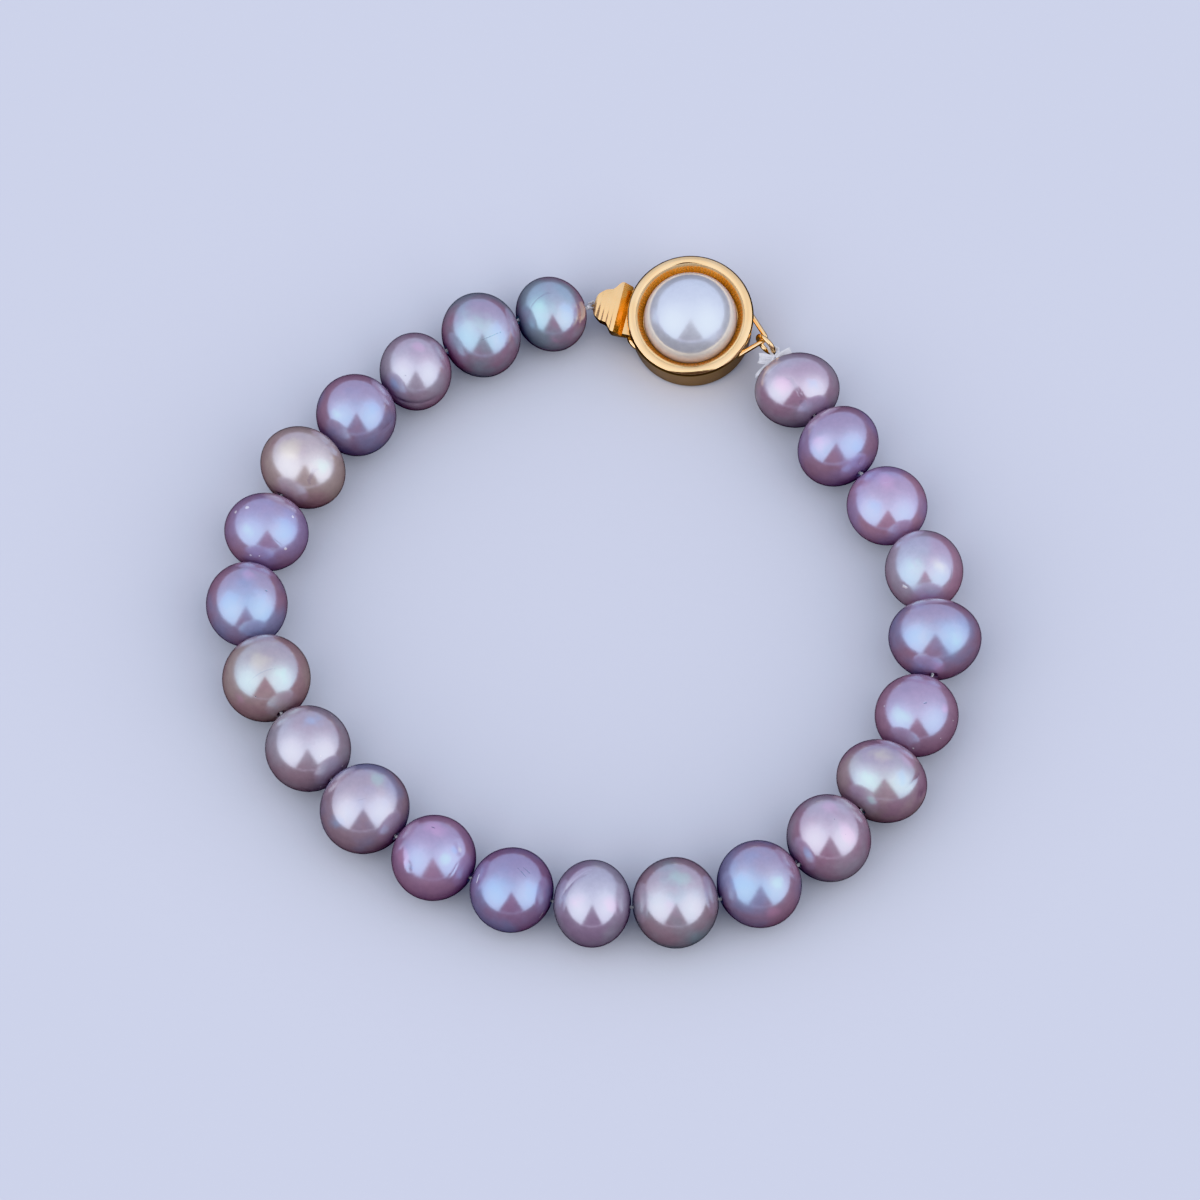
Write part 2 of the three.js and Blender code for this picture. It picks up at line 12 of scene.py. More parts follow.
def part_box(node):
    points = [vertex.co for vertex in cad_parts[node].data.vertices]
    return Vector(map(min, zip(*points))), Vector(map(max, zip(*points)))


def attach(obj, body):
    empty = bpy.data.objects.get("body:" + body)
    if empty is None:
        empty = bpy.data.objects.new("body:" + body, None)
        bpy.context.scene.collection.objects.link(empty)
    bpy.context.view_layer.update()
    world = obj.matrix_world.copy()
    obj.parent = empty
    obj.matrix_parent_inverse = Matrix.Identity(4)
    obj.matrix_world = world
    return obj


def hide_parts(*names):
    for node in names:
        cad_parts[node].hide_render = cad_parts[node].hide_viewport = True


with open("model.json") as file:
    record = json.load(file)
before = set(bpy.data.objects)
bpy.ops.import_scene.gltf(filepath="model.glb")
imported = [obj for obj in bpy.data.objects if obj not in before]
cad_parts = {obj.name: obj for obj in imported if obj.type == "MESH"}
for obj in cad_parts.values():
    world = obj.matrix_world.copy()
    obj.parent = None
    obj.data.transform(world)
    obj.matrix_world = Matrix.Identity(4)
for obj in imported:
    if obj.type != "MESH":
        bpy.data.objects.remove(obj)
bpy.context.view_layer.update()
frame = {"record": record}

# Shapes are made in millimetres and brought to metres when a piece is finished.
MM = 0.001
MERGE_DISTANCE = 1e-4

# Camera, at the photo's angle to the surface

CAMERA_ELEVATION = 64  # degrees
CAMERA_DISTANCE = 1048
CAMERA_FIELD = 6.126  # degrees across the square frame
CAMERA_AIM = Vector((0.65, -0.13, 4))

# Studio: a soft white tent with a narrow opening, shaped like an A, on the side of the camera

OPENING_HALF_WIDTH = 30  # degrees to either side, at the floor
OPENING_SOFTNESS = 0.05
PANEL_BEARING = 58  # degrees to either side of the camera
PANEL_ELEVATION = 31
PANEL_SHARPNESS = 4.5
PANEL_STRENGTH = 2.15
PANEL_COLOUR = (0.98, 1.0, 1.0)
TENT_COLOUR = (0.62, 0.70, 0.95)
OPENING_COLOUR = (0.10, 0.085, 0.12)

# A thin line of light at the foot of the opening
FOOT_LIGHT_HEIGHT = 0.035
FOOT_LIGHT_WIDTH = 0.022
FOOT_LIGHT_COLOUR = (1.7, 1.5, 1.9)
BACKDROP_COLOUR = (0.60, 0.62, 0.70, 1)
FLOOR_SIZE = 6000
FLOOR_COLOUR = (0.50, 0.50, 0.54, 1)
FLOOR_GRAIN = 900
FLOOR_RELIEF = 0.4

# Painted shade: every ray but the camera's sees the floor in this dark colour, so that it throws little back
# at the bracelet and the pearls stay deep in colour below
FLOOR_PAINTED_SHADE = (0.012, 0.008, 0.012, 1)

# Painted light: round the clasp every ray but the camera's sees the floor paler, so that it throws back more
# there, which warms the wall of its box
CLASP_PAINTED_LIGHT = (0.17, 0.16, 0.16, 1)
CLASP_PAINTED_LIGHT_RADIUS = 7.5
CLASP_PAINTED_LIGHT_FADE = 2.5

# Pearls

PEARL_SIZE = 8
DRILL_DIAMETER = 0.9
DRILL_LIP = 0.07
PEARL_STEPS = 96
PEARL_AROUND = 120
UNEVENNESS = 0.035
UNEVEN_SIZE = 3.2

# Body colours of the nacre, and the overtones that lie over them
MAUVE = (0.31, 0.18, 0.235)
LAVENDER = (0.275, 0.19, 0.265)
ROSE = (0.34, 0.21, 0.215)
GREY = (0.295, 0.20, 0.23)
VIOLET = (0.265, 0.155, 0.235)
PINK = (0.38, 0.21, 0.27)
SKY = (0.20, 0.26, 0.42)
TEAL = (0.18, 0.32, 0.34)
MILK = (0.34, 0.34, 0.38)
LILAC = (0.28, 0.23, 0.40)
PEACH = (0.40, 0.33, 0.28)

# In the order of the thread, from the clasp's tongue round to its jump ring. along, wide and tall are shares
# of PEARL_SIZE, turn is the angle in degrees from the thread to the pearl's own axis, egg the share by which
# its far end narrows, and film the thickness in nanometres of the film that colours its gloss.
Pearl = namedtuple("Pearl", "along wide tall turn egg body overtone film")
PEARLS = [
    Pearl(0.83, 0.91, 0.88, 11, 0, MAUVE, TEAL, 139),
    Pearl(0.92, 1.02, 1.03, 0, 0, MAUVE, TEAL, 136),
    Pearl(0.85, 0.92, 0.96, -23, 0, MAUVE, MILK, 36),
    Pearl(0.94, 0.97, 1.02, -8, 0, MAUVE, SKY, 130),
    Pearl(0.91, 1.05, 1.06, 0, 0, ROSE, PEACH, 40),
    Pearl(0.91, 1.0, 0.97, 7, 0, MAUVE, LILAC, 130),
    Pearl(1.01, 0.96, 0.96, 0, 0, MAUVE, SKY, 133),
    Pearl(1.01, 1.04, 1.08, 4, 0, ROSE, PEACH, 141),
    Pearl(1.01, 1.0, 1.03, 0, 0, GREY, MILK, 36),
    Pearl(1.02, 1.07, 1.08, 0, 0, GREY, SKY, 36),
    Pearl(0.98, 1.0, 1.03, 0, 0, VIOLET, PINK, 128),
    Pearl(0.97, 1.0, 0.97, -4, 0, VIOLET, SKY, 130),
    Pearl(0.9, 1.02, 1.02, 4, 0, LAVENDER, MILK, 36),
    Pearl(1.0, 1.06, 1.06, 0, 0, GREY, TEAL, 38),
    Pearl(0.98, 1.03, 1.02, 0, 0, MAUVE, SKY, 134),
    Pearl(0.97, 1.02, 1.1, -12, 0, MAUVE, MILK, 36),
    Pearl(0.93, 1.08, 1.06, 8, 0, MAUVE, PEACH, 143),
    Pearl(0.98, 0.98, 0.94, 0, 0, MAUVE, PINK, 129),
    Pearl(0.93, 1.09, 1.09, 0, -0.06, MAUVE, SKY, 132),
    Pearl(0.95, 0.92, 0.94, 0, 0, PINK, MILK, 137),
    Pearl(0.96, 0.95, 0.85, 5, 0, PINK, LILAC, 129),
    Pearl(0.88, 1.01, 1.03, 4, 0, MAUVE, LILAC, 128),
    Pearl(0.87, 1.01, 0.96, -21, 0, MAUVE, MILK, 36),
]

# Marks on the pearls, and light painted on them, as the camera sees them. Pits, scars and creases are
# darkened with painted shade in their grooves, sheens are painted highlights, glints are painted coloured
# reflections of the lamps, and chips show the nacre's own paler colour. A path holds points across and up
# from the pearl's
# middle, as shares of its half width: one for a spot, two for a straight stroke and three for an arc. broad
# is in millimetres, and so is deep, the depth that a wide mark has in the surface itself.
Mark = namedtuple("Mark", "pearl look broad deep path")
# Looks of the marks: pits, scars and creases are darkened with painted shade, and a sheen is a painted
# highlight
SHADED_SCAR = "scar"
SHADED_PIT = "pit"
CHIP = "chip"
SHADED_CREASE = "crease"
# A sheen: a painted highlight beside a crease or dent, on a slight rise
PAINTED_SHEEN = "sheen"
# Glints: painted colours of the lamps' reflections on the nacre
AZURE = "azure"
GREEN = "green"
ROSY = "rosy"
GOLDEN = "golden"


def spot(pearl, look, broad, across, up):
    return Mark(pearl, look, broad, 0, ((across, up),))


MARKS = [
    spot(1, GREEN, 3.2, -0.30, 0.20),
    spot(1, AZURE, 2.2, 0.45, 0.10),
    spot(1, ROSY, 1.6, 0.10, -0.70),
    spot(2, GREEN, 3.6, -0.10, 0.36),
    spot(2, AZURE, 2.4, 0.48, 0.00),
    spot(3, AZURE, 1.6, -0.55, -0.35),
    spot(3, ROSY, 1.6, 0.10, 0.60),
    spot(4, AZURE, 3.0, 0.40, 0.10),
    spot(4, GREEN, 2.0, -0.42, 0.00),
    spot(5, GOLDEN, 3.0, -0.25, 0.45),
    spot(5, GREEN, 2.4, 0.42, 0.05),
    spot(6, GREEN, 2.4, -0.45, 0.05),
    spot(6, AZURE, 2.6, 0.45, 0.05),
    spot(7, AZURE, 2.8, -0.40, 0.05),
    spot(7, AZURE, 2.8, 0.42, 0.08),
    spot(7, ROSY, 1.8, 0.05, 0.75),
    spot(8, GOLDEN, 3.0, -0.20, 0.50),
    spot(8, GREEN, 2.8, 0.42, 0.00),
    spot(8, ROSY, 2.0, -0.55, -0.45),
    spot(9, AZURE, 2.4, 0.10, 0.66),
    spot(10, GREEN, 2.4, 0.30, 0.66),
    spot(10, AZURE, 2.2, -0.60, -0.30),
    spot(11, ROSY, 2.6, -0.70, 0.06),
    spot(11, ROSY, 2.4, 0.04, 0.70),
    spot(11, AZURE, 1.0, 0.50, 0.20),
    spot(11, GOLDEN, 0.7, 0.62, 0.20),
    spot(11, AZURE, 0.9, -0.50, -0.20),
    spot(11, GREEN, 1.6, 0.30, -0.02),
    spot(12, AZURE, 2.8, -0.35, -0.02),
    spot(12, AZURE, 2.6, 0.45, 0.06),
    spot(13, ROSY, 2.4, -0.40, 0.05),
    spot(13, ROSY, 2.2, 0.45, -0.05),
    spot(14, GREEN, 3.4, 0.05, 0.55),
    spot(14, ROSY, 2.4, -0.10, 0.00),
    spot(15, AZURE, 2.8, -0.40, 0.05),
    spot(15, GREEN, 2.6, 0.42, 0.02),
    spot(15, ROSY, 1.8, 0.30, -0.62),
    spot(16, ROSY, 2.4, -0.02, 0.70),
    spot(16, ROSY, 2.6, 0.35, 0.10),
    spot(16, AZURE, 1.6, -0.52, -0.33),
    spot(17, GOLDEN, 2.4, -0.04, 0.60),
    spot(17, GREEN, 2.8, -0.32, 0.00),
    spot(17, ROSY, 2.4, 0.60, 0.48),
    spot(17, AZURE, 2.2, 0.46, 0.08),
    spot(17, GREEN, 1.2, -0.28, -0.44),
    Mark(18, ROSY, 2.6, 0, ((0.66, 0.30), (0.68, 0.00))),
    spot(18, GREEN, 2.4, -0.38, 0.00),
    spot(19, AZURE, 3.0, -0.45, 0.00),
    spot(19, GREEN, 2.4, 0.45, -0.05),
    spot(19, ROSY, 1.8, 0.05, -0.70),
    spot(20, GREEN, 2.4, -0.32, 0.10),
    spot(20, GOLDEN, 2.0, 0.40, 0.10),
    spot(20, ROSY, 2.6, 0.10, -0.75),
    spot(21, ROSY, 3.0, 0.00, 0.62),
    spot(21, AZURE, 2.6, -0.40, 0.00),
    spot(22, ROSY, 2.4, -0.45, 0.10),
    spot(22, AZURE, 2.4, 0.45, 0.00),
    spot(23, AZURE, 2.2, 0.45, 0.10),
    spot(23, ROSY, 2.2, -0.40, 0.10),
    Mark(1, SHADED_CREASE, 0.16, 0, ((-0.66, -0.12), (-0.40, 0.36), (0.18, 0.62))),
    Mark(1, SHADED_CREASE, 0.10, 0, ((-0.60, 0.10), (-0.30, 0.44), (0.12, 0.55))),
    Mark(2, SHADED_SCAR, 0.10, 0, ((0.05, -0.13), (0.44, 0.04))),
    spot(2, SHADED_SCAR, 0.22, 0.46, 0.05),
    Mark(3, SHADED_CREASE, 0.34, 0.09, ((-0.60, -0.68), (0.00, -0.84), (0.66, -0.60))),
    Mark(3, PAINTED_SHEEN, 0.20, 0, ((-0.40, -0.84), (0.10, -0.94), (0.50, -0.80))),
    Mark(3, PAINTED_SHEEN, 0.22, 0.03, ((0.66, 0.42), (0.82, 0.22), (0.88, 0.02))),
    spot(3, SHADED_PIT, 0.16, -0.24, -0.12),
    Mark(4, PAINTED_SHEEN, 0.14, 0, ((0.66, -0.50), (0.92, -0.22))),
    Mark(4, SHADED_CREASE, 0.26, 0.05, ((0.62, -0.42), (0.93, -0.10))),
    Mark(4, PAINTED_SHEEN, 0.30, 0.03, ((0.56, 0.68), (0.68, 0.56))),
    Mark(5, SHADED_CREASE, 0.30, 0.04, ((0.14, -0.48), (0.22, -0.20), (0.30, -0.08))),
    Mark(5, PAINTED_SHEEN, 0.40, 0.05, ((0.40, 0.72), (0.62, 0.56), (0.78, 0.30))),
    spot(6, CHIP, 0.38, -0.72, 0.48),
    spot(6, CHIP, 0.42, -0.44, 0.59),
    spot(6, CHIP, 0.26, 0.65, 0.36),
    spot(6, CHIP, 0.32, 0.49, -0.42),
    Mark(6, SHADED_CREASE, 0.18, 0, ((0.20, -0.16), (0.42, -0.36))),
    spot(6, CHIP, 0.30, -0.38, -0.60),
    spot(6, CHIP, 0.16, -0.16, -0.62),
    spot(7, SHADED_PIT, 0.24, 0.50, 0.33),
    Mark(8, SHADED_CREASE, 0.10, 0, ((-0.46, -0.26), (-0.10, 0.12), (0.10, 0.20))),
    spot(8, SHADED_PIT, 0.16, -0.22, -0.40),
    spot(9, CHIP, 0.18, 0.31, -0.16),
    spot(9, CHIP, 0.20, 0.56, 0.76),
    spot(9, CHIP, 0.20, 0.80, -0.40),
    spot(9, CHIP, 0.16, 0.30, -0.88),
    Mark(10, SHADED_CREASE, 0.08, 0, ((-0.12, 0.20), (0.10, 0.26))),
    Mark(11, PAINTED_SHEEN, 0.55, 0.07, ((0.56, 0.38), (0.64, 0.14))),
    Mark(11, SHADED_CREASE, 0.16, 0.02, ((0.38, -0.44), (0.58, -0.10))),
    Mark(11, PAINTED_SHEEN, 0.50, 0.06, ((-0.58, -0.08), (-0.56, -0.26))),
    Mark(11, SHADED_SCAR, 0.10, 0, ((-0.05, 0.72), (0.06, 0.68))),
    Mark(12, SHADED_SCAR, 0.08, 0, ((0.16, 0.54), (0.38, 0.30))),
    Mark(12, SHADED_SCAR, 0.07, 0, ((0.28, 0.56), (0.46, 0.40))),
    Mark(12, CHIP, 0.12, 0, ((-0.84, 0.16), (-0.78, 0.38))),
    Mark(12, CHIP, 0.10, 0, ((0.66, -0.66), (0.78, -0.48))),
    Mark(13, SHADED_CREASE, 0.26, 0.06, ((-0.72, 0.20), (-0.46, 0.52), (0.06, 0.72))),
    Mark(13, PAINTED_SHEEN, 0.16, 0.03, ((-0.62, 0.36), (-0.34, 0.66), (0.02, 0.80))),
    Mark(13, SHADED_CREASE, 0.12, 0, ((-0.80, 0.08), (-0.60, 0.44))),
    Mark(15, PAINTED_SHEEN, 0.22, 0.03, ((0.60, 0.66), (0.76, 0.46), (0.84, 0.22))),
    spot(15, SHADED_PIT, 0.14, -0.60, -0.62),
    spot(16, SHADED_PIT, 0.12, -0.64, 0.60),
    spot(16, SHADED_PIT, 0.12, 0.10, 0.42),
    spot(16, SHADED_PIT, 0.10, 0.34, 0.10),
    Mark(17, SHADED_CREASE, 0.22, 0.05, ((0.52, -0.10), (0.72, 0.06), (0.86, 0.26))),
    Mark(17, SHADED_CREASE, 0.70, 0.10, ((0.86, -0.28),)),
    spot(18, CHIP, 0.20, -0.10, -0.78),
    spot(18, CHIP, 0.14, 0.56, -0.54),
    spot(18, CHIP, 0.14, 0.86, -0.12),
    spot(18, CHIP, 0.14, -0.80, 0.23),
    Mark(18, SHADED_PIT, 0.14, 0, ((0.14, 0.30), (0.22, 0.33))),
    Mark(20, CHIP, 0.34, 0.02, ((-0.58, -0.38), (-0.44, -0.46))),
    Mark(20, SHADED_CREASE, 0.16, 0, ((0.62, -0.34), (0.70, 0.10))),
    Mark(21, PAINTED_SHEEN, 0.10, 0, ((-0.20, 0.62), (0.20, 0.66))),
    Mark(22, CHIP, 0.44, 0.06, ((0.56, -0.50), (0.60, -0.36))),
    Mark(23, SHADED_CREASE, 0.40, 0.02, ((-0.36, 0.42), (-0.06, 0.10), (0.06, -0.10))),
    Mark(23, SHADED_CREASE, 0.80, 0.03, ((0.02, -0.34), (0.24, -0.40))),
    Mark(23, PAINTED_SHEEN, 0.14, 0, ((-0.82, 0.20), (-0.56, 0.56), (-0.20, 0.78))),
]

# Clasp

BOX_WALL = 0.5
BOX_EDGE_RADIUS = 0.35
FLOOR_THICKNESS = 0.5
CAVITY_HEIGHT = 2.15
DECK_THICKNESS = 0.5
AXIS_BELOW_DECK = 0.3
RIM_WIDTH = 1.12
RIM_HEIGHT = 4.1
RIM_OVERHANG = 0.3
RIM_FOOT = -55
SEAT_SLOPE = 60  # degrees that the seat falls from the rim to the half pearl
SEAT_WIDTH = 0.425
RIM_STEPS = 24
BOX_EDGE_STEPS = 8
TURNED_STEPS = 128

# The milled edge that holds the half pearl, at the foot of the seat
TEETH = 90
TOOTH_STEPS = 6
TEETH_WIDTH = 0.36
TEETH_LIP = 0.04
TEETH_RISE = 0.04
TEETH_DEPTH = 0.05

CLASP_PEARL_DIAMETER = 8.9
CLASP_PEARL_HEIGHT = 4.7
CLASP_PEARL_GAP = 0.06
CLASP_PEARL_CLEARANCE = 0.08
CLASP_PEARL_STEPS = 40

TONGUE_WIDTH = 4.4
TONGUE_OFFSET = -0.3
LEAF_THICKNESS = 0.35
LEAF_SPREAD = 0.5
LEAF_DEPTH = 8.2
LEAF_BELOW_AXIS = 1.4
FOLD_LENGTH = 1.05
FOLD_GAP = 0.05
SLOT_CLEARANCE = 0.3

THUMB_WIDTH = 5
THUMB_LENGTH = 3.2
THUMB_TO_RIM = 0.12
THUMB_RISE = 1.05
THUMB_TIP_THICKNESS = 0.3
THUMB_BOW = 0.8
THUMB_UNDERCUT = 0.3
THUMB_LAP = 0.1
CREST_FLAT = 0.05
BACK_RUN = 0.8  # of the slope behind the crest
BACK_STEP = 0.15
FLUTES = 5
FLUTE_DEPTH = 0.035
FLUTE_STEPS = 10
EDGE_BEVEL = 0.05
LEAST_EDGE = 35  # degrees at an edge that is rounded, past those between the steps of a curve
LOWER_LEAF_SHARE = 0.78

# Half outline of the thumb piece from above: shares of its length back from the tip, and of its width
THUMB_OUTLINE = [
    (0, 0.1),
    (0.035, 0.18),
    (0.12, 0.245),
    (0.275, 0.31),
    (0.44, 0.335),
    (0.53, 0.38),
    (0.62, 0.46),
    (0.73, 0.5),
    (1, 0.5),
]

EYE_WIRE = 0.32
EYE_HOLE = 0.52
EYE_OVERHANG = 0.36
EYE_STEPS = 40

BAIL_WIRE = 0.45
BAIL_REACH = 1.7
BAIL_SPREAD = 5.2
BAIL_CORNER_SHARE = 0.12
BAIL_STEPS = 12

RING_WIRE = 0.45
RING_HOLE = 1.6
RING_TURN = -31  # degrees from the clasp's axis
RING_SPLIT = 0.06  # where the ring's ends meet
RING_SPLIT_AT = 200  # degrees round the ring
RING_STEPS = 60

TAB_LENGTH = 1.5
TAB_THICKNESS = 0.55
TAB_OVERHANG = 0.12
TAB_BEARING = 210
TAB_SPLAY = 22
TAB_HEIGHT = 1.1

# Silk

SILK_DIAMETER = 0.32
SILK_TWIST = 0.8  # length of one turn of its plies
SILK_PLIES = 2
PLY_SHARE = 0.56  # of the silk's diameter
KNOT_PLY = 0.95  # how thick the silk is in a knot, against the string
STRING_STEP = 0.12
LOOP_STEP = 0.08
SILK_MOUTH_INSET = 0.8
TONGUE_KNOT = 0.5
RING_KNOT = 0.9
KNOT_GAP = 0.05
LOOP_GAP = 0.07
LOOP_LEGS = 0.62
LOOP_CLOSES = 0.35
LOOP_TURNS = 0.45
LOOP_CROWN = 1.1
KNOT_TURNS = 3
KNOT_STEPS = 120
KNOT_WAVE = 0.45
KNOT_SPREAD = 0.7
KNOT_RISE = 0.75

# Frayed ends of the silk, as the camera sees them from the knot at the ring: how far right and up they
# reach, how far they rise towards the camera, and how broad they splay
Tail = namedtuple("Tail", "right up rise broad")
TAILS = [
    Tail(1.45, 0.62, 0.95, 0.95),
    Tail(-1.60, 0.05, 0.20, 0.95),
    Tail(-1.70, -1.75, 0.60, 0.75),
]
TAIL_FIBRES = 15
TAIL_FIBRE = 0.095
TAIL_BEND = 0.18
TAIL_UNEVEN = 0.13  # share of its length by which a fibre is longer or shorter
TAIL_START = 0.35  # share of its breadth that a tail has at the knot
TAIL_BELLY = 0.2

seat_slope = math.radians(SEAT_SLOPE)
seat_foot = CLASP_PEARL_DIAMETER / 2 + CLASP_PEARL_CLEARANCE
rim_tube = RIM_WIDTH / 2
rim_ring = seat_foot + SEAT_WIDTH + rim_tube * math.sin(seat_slope)
rim_radius = rim_ring + rim_tube
box_radius = rim_radius - RIM_OVERHANG
seat_low = RIM_HEIGHT + rim_tube * math.cos(seat_slope) - SEAT_WIDTH * math.tan(seat_slope)
deck = FLOOR_THICKNESS + CAVITY_HEIGHT + DECK_THICKNESS
axis_height = FLOOR_THICKNESS + CAVITY_HEIGHT - AXIS_BELOW_DECK
thumb_back = rim_radius + THUMB_TO_RIM
thumb_tip = thumb_back + THUMB_LENGTH


# Camera and studio


def towards_camera():
    tilt = math.radians(CAMERA_ELEVATION)
    return Vector((0, -math.cos(tilt), math.sin(tilt)))


def make_camera():
    data = bpy.data.cameras.new("camera")
    data.angle = math.radians(CAMERA_FIELD)
    camera = bpy.data.objects.new("camera", data)
    camera.location = (CAMERA_AIM + towards_camera() * CAMERA_DISTANCE) * MM
    camera.rotation_euler = (math.radians(90 - CAMERA_ELEVATION), 0, 0)
    bpy.context.scene.collection.objects.link(camera)
    bpy.context.scene.camera = camera


def node(tree, kind, inputs=None, **settings):
    """Adds a shader node. Each input is a plain value, or the socket that feeds it."""
    made = tree.nodes.new("ShaderNode" + kind)
    for name, value in settings.items():
        setattr(made, name, value)
    for name, value in (inputs or {}).items():
        if isinstance(value, bpy.types.NodeSocket):
            tree.links.new(value, made.inputs[name])
        else:
            made.inputs[name].default_value = value
    return made


def maths(tree, operation, first, second=0.0):
    return node(tree, "Math", {0: first, 1: second}, operation=operation).outputs[0]


def vector_maths(tree, operation, first, second, output="Vector"):
    return node(tree, "VectorMath", {0: first, 1: second}, operation=operation).outputs[output]


def scaled(tree, vector, scale):
    return node(tree, "VectorMath", {0: vector, 3: scale}, operation="SCALE").outputs[0]


def mixed(tree, factor, first, second):
    return node(tree, "Mix", {0: factor, 6: first, 7: second}, data_type="RGBA").outputs[2]


def ranged(tree, value, low, high, to_low=0.0, to_high=1.0):
    inputs = {"Value": value, "From Min": low, "From Max": high, "To Min": to_low, "To Max": to_high}
    return node(tree, "MapRange", inputs, interpolation_type="SMOOTHSTEP").outputs[0]


def direction(bearing, elevation):
    """bearing is in degrees from the camera's side of the object, to the right."""
    turn = math.radians(bearing)
    tilt = math.radians(elevation)
    return Vector((math.sin(turn) * math.cos(tilt), -math.cos(turn) * math.cos(tilt), math.sin(tilt)))


def make_studio():
    world = bpy.data.worlds.new("studio")
    world.use_nodes = True
    bpy.context.scene.world = world
    tree = world.node_tree
    tree.nodes.clear()
    looking = node(tree, "TexCoord").outputs["Generated"]

    light = TENT_COLOUR
    for side in (-1, 1):
        panel = direction(side * PANEL_BEARING, PANEL_ELEVATION)
        facing = vector_maths(tree, "DOT_PRODUCT", looking, panel, "Value")
        fall = maths(tree, "MULTIPLY", maths(tree, "SUBTRACT", facing, 1.0), PANEL_SHARPNESS)
        glow = maths(tree, "MULTIPLY", maths(tree, "EXPONENT", fall), PANEL_STRENGTH)
        light = vector_maths(tree, "ADD", scaled(tree, PANEL_COLOUR, glow), light)

    inside = 1.0
    for side in (-1, 1):
        edge = direction(side * OPENING_HALF_WIDTH, 0).cross(towards_camera()).normalized() * side
        past_edge = vector_maths(tree, "DOT_PRODUCT", looking, edge, "Value")
        past_edge = ranged(tree, past_edge, -OPENING_SOFTNESS, OPENING_SOFTNESS)
        inside = maths(tree, "MULTIPLY", past_edge, inside)
    height = node(tree, "SeparateXYZ", {0: looking}).outputs["Z"]
    off_line = maths(tree, "ABSOLUTE", maths(tree, "SUBTRACT", height, FOOT_LIGHT_HEIGHT))
    line = ranged(tree, off_line, 0.0, FOOT_LIGHT_WIDTH, 1.0, 0.0)
    opening = vector_maths(tree, "ADD", scaled(tree, FOOT_LIGHT_COLOUR, line), OPENING_COLOUR)
    around = node(tree, "Mix", {0: inside, 4: light, 5: opening}, data_type="VECTOR").outputs[1]

    lit = node(tree, "Background", {"Color": around, "Strength": 1.0})
    plain = node(tree, "Background", {"Color": BACKDROP_COLOUR, "Strength": 1.0})
    seen = node(tree, "LightPath").outputs["Is Camera Ray"]
    shader = node(tree, "MixShader", {0: seen, 1: lit.outputs[0], 2: plain.outputs[0]})
    node(tree, "OutputWorld", {"Surface": shader.outputs[0]})


def new_material(name, surface, bump_distance=0.05):
    """A material whose Principled BSDF takes surface, a dict of inputs made by a function of its tree."""
    material = bpy.data.materials.new(name)
    material.use_nodes = True
    tree = material.node_tree
    tree.nodes.clear()
    inputs = surface(tree)
    height = inputs.pop("Height", None)
    if height is not None:
        bump = node(tree, "Bump", {"Height": height, "Strength": 1.0, "Distance": bump_distance * MM})
        inputs["Normal"] = bump.outputs["Normal"]
    shader = node(tree, "BsdfPrincipled", inputs)
    node(tree, "OutputMaterial", {"Surface": shader.outputs[0]})
    return material


def make_floor():
    shape = bmesh.new()
    bmesh.ops.create_grid(shape, x_segments=1, y_segments=1, size=FLOOR_SIZE / 2 * MM)
    data = bpy.data.meshes.new("floor")
    shape.to_mesh(data)
    shape.free()

    def surface(tree):
        place = node(tree, "TexCoord").outputs["Object"]
        grain = node(tree, "TexNoise", {"Vector": place, "Scale": FLOOR_GRAIN, "Detail": 3}).outputs["Fac"]
        # A painted pool of light round the clasp, which only rays other than the camera's see
        low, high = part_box("clasp_box")
        away = vector_maths(tree, "DISTANCE", place, (low + high) / 2 * Vector((1, 1, 0)), "Value")
        fade = (CLASP_PAINTED_LIGHT_RADIUS * MM, (CLASP_PAINTED_LIGHT_RADIUS + CLASP_PAINTED_LIGHT_FADE) * MM)
        painted_light_share = ranged(tree, away, *fade, 1.0, 0.0)
        # The camera sees the plain pale floor; every other ray sees painted shade, and the painted light
        # round the clasp
        seen = node(tree, "LightPath").outputs["Is Camera Ray"]
        colour = mixed(tree, seen, mixed(tree, painted_light_share, FLOOR_PAINTED_SHADE, CLASP_PAINTED_LIGHT), FLOOR_COLOUR)
        inputs = {"Base Color": colour, "Roughness": 0.75, "Specular IOR Level": 0.2}
        return {**inputs, "Height": maths(tree, "MULTIPLY", grain, FLOOR_RELIEF)}

    data.materials.append(new_material("floor", surface))
    floor = bpy.data.objects.new("floor", data)
    bpy.context.scene.collection.objects.link(floor)


# Shader groups. A scale is the number of a pattern's waves in a metre.

CLOUD_SCALE = 210
MOTTLE_SCALE = 1500
SKIN_SCALE = 420
HAIR_SCALE = 2600
HAIR_RELIEF = 0.06
SWELL_SCALE = 420
FIBRE_SCALE = 5200


def new_group(name, inputs, outputs):
    """A shader node group with named sockets. Gives the group, its tree's input node and its output node."""
    tree = bpy.data.node_groups.new(name, "ShaderNodeTree")
    for socket, kind, value in inputs:
        made = tree.interface.new_socket(socket, in_out="INPUT", socket_type="NodeSocket" + kind)
        made.default_value = value
    for socket, kind in outputs:
        tree.interface.new_socket(socket, in_out="OUTPUT", socket_type="NodeSocket" + kind)
    return tree, tree.nodes.new("NodeGroupInput").outputs, tree.nodes.new("NodeGroupOutput").inputs


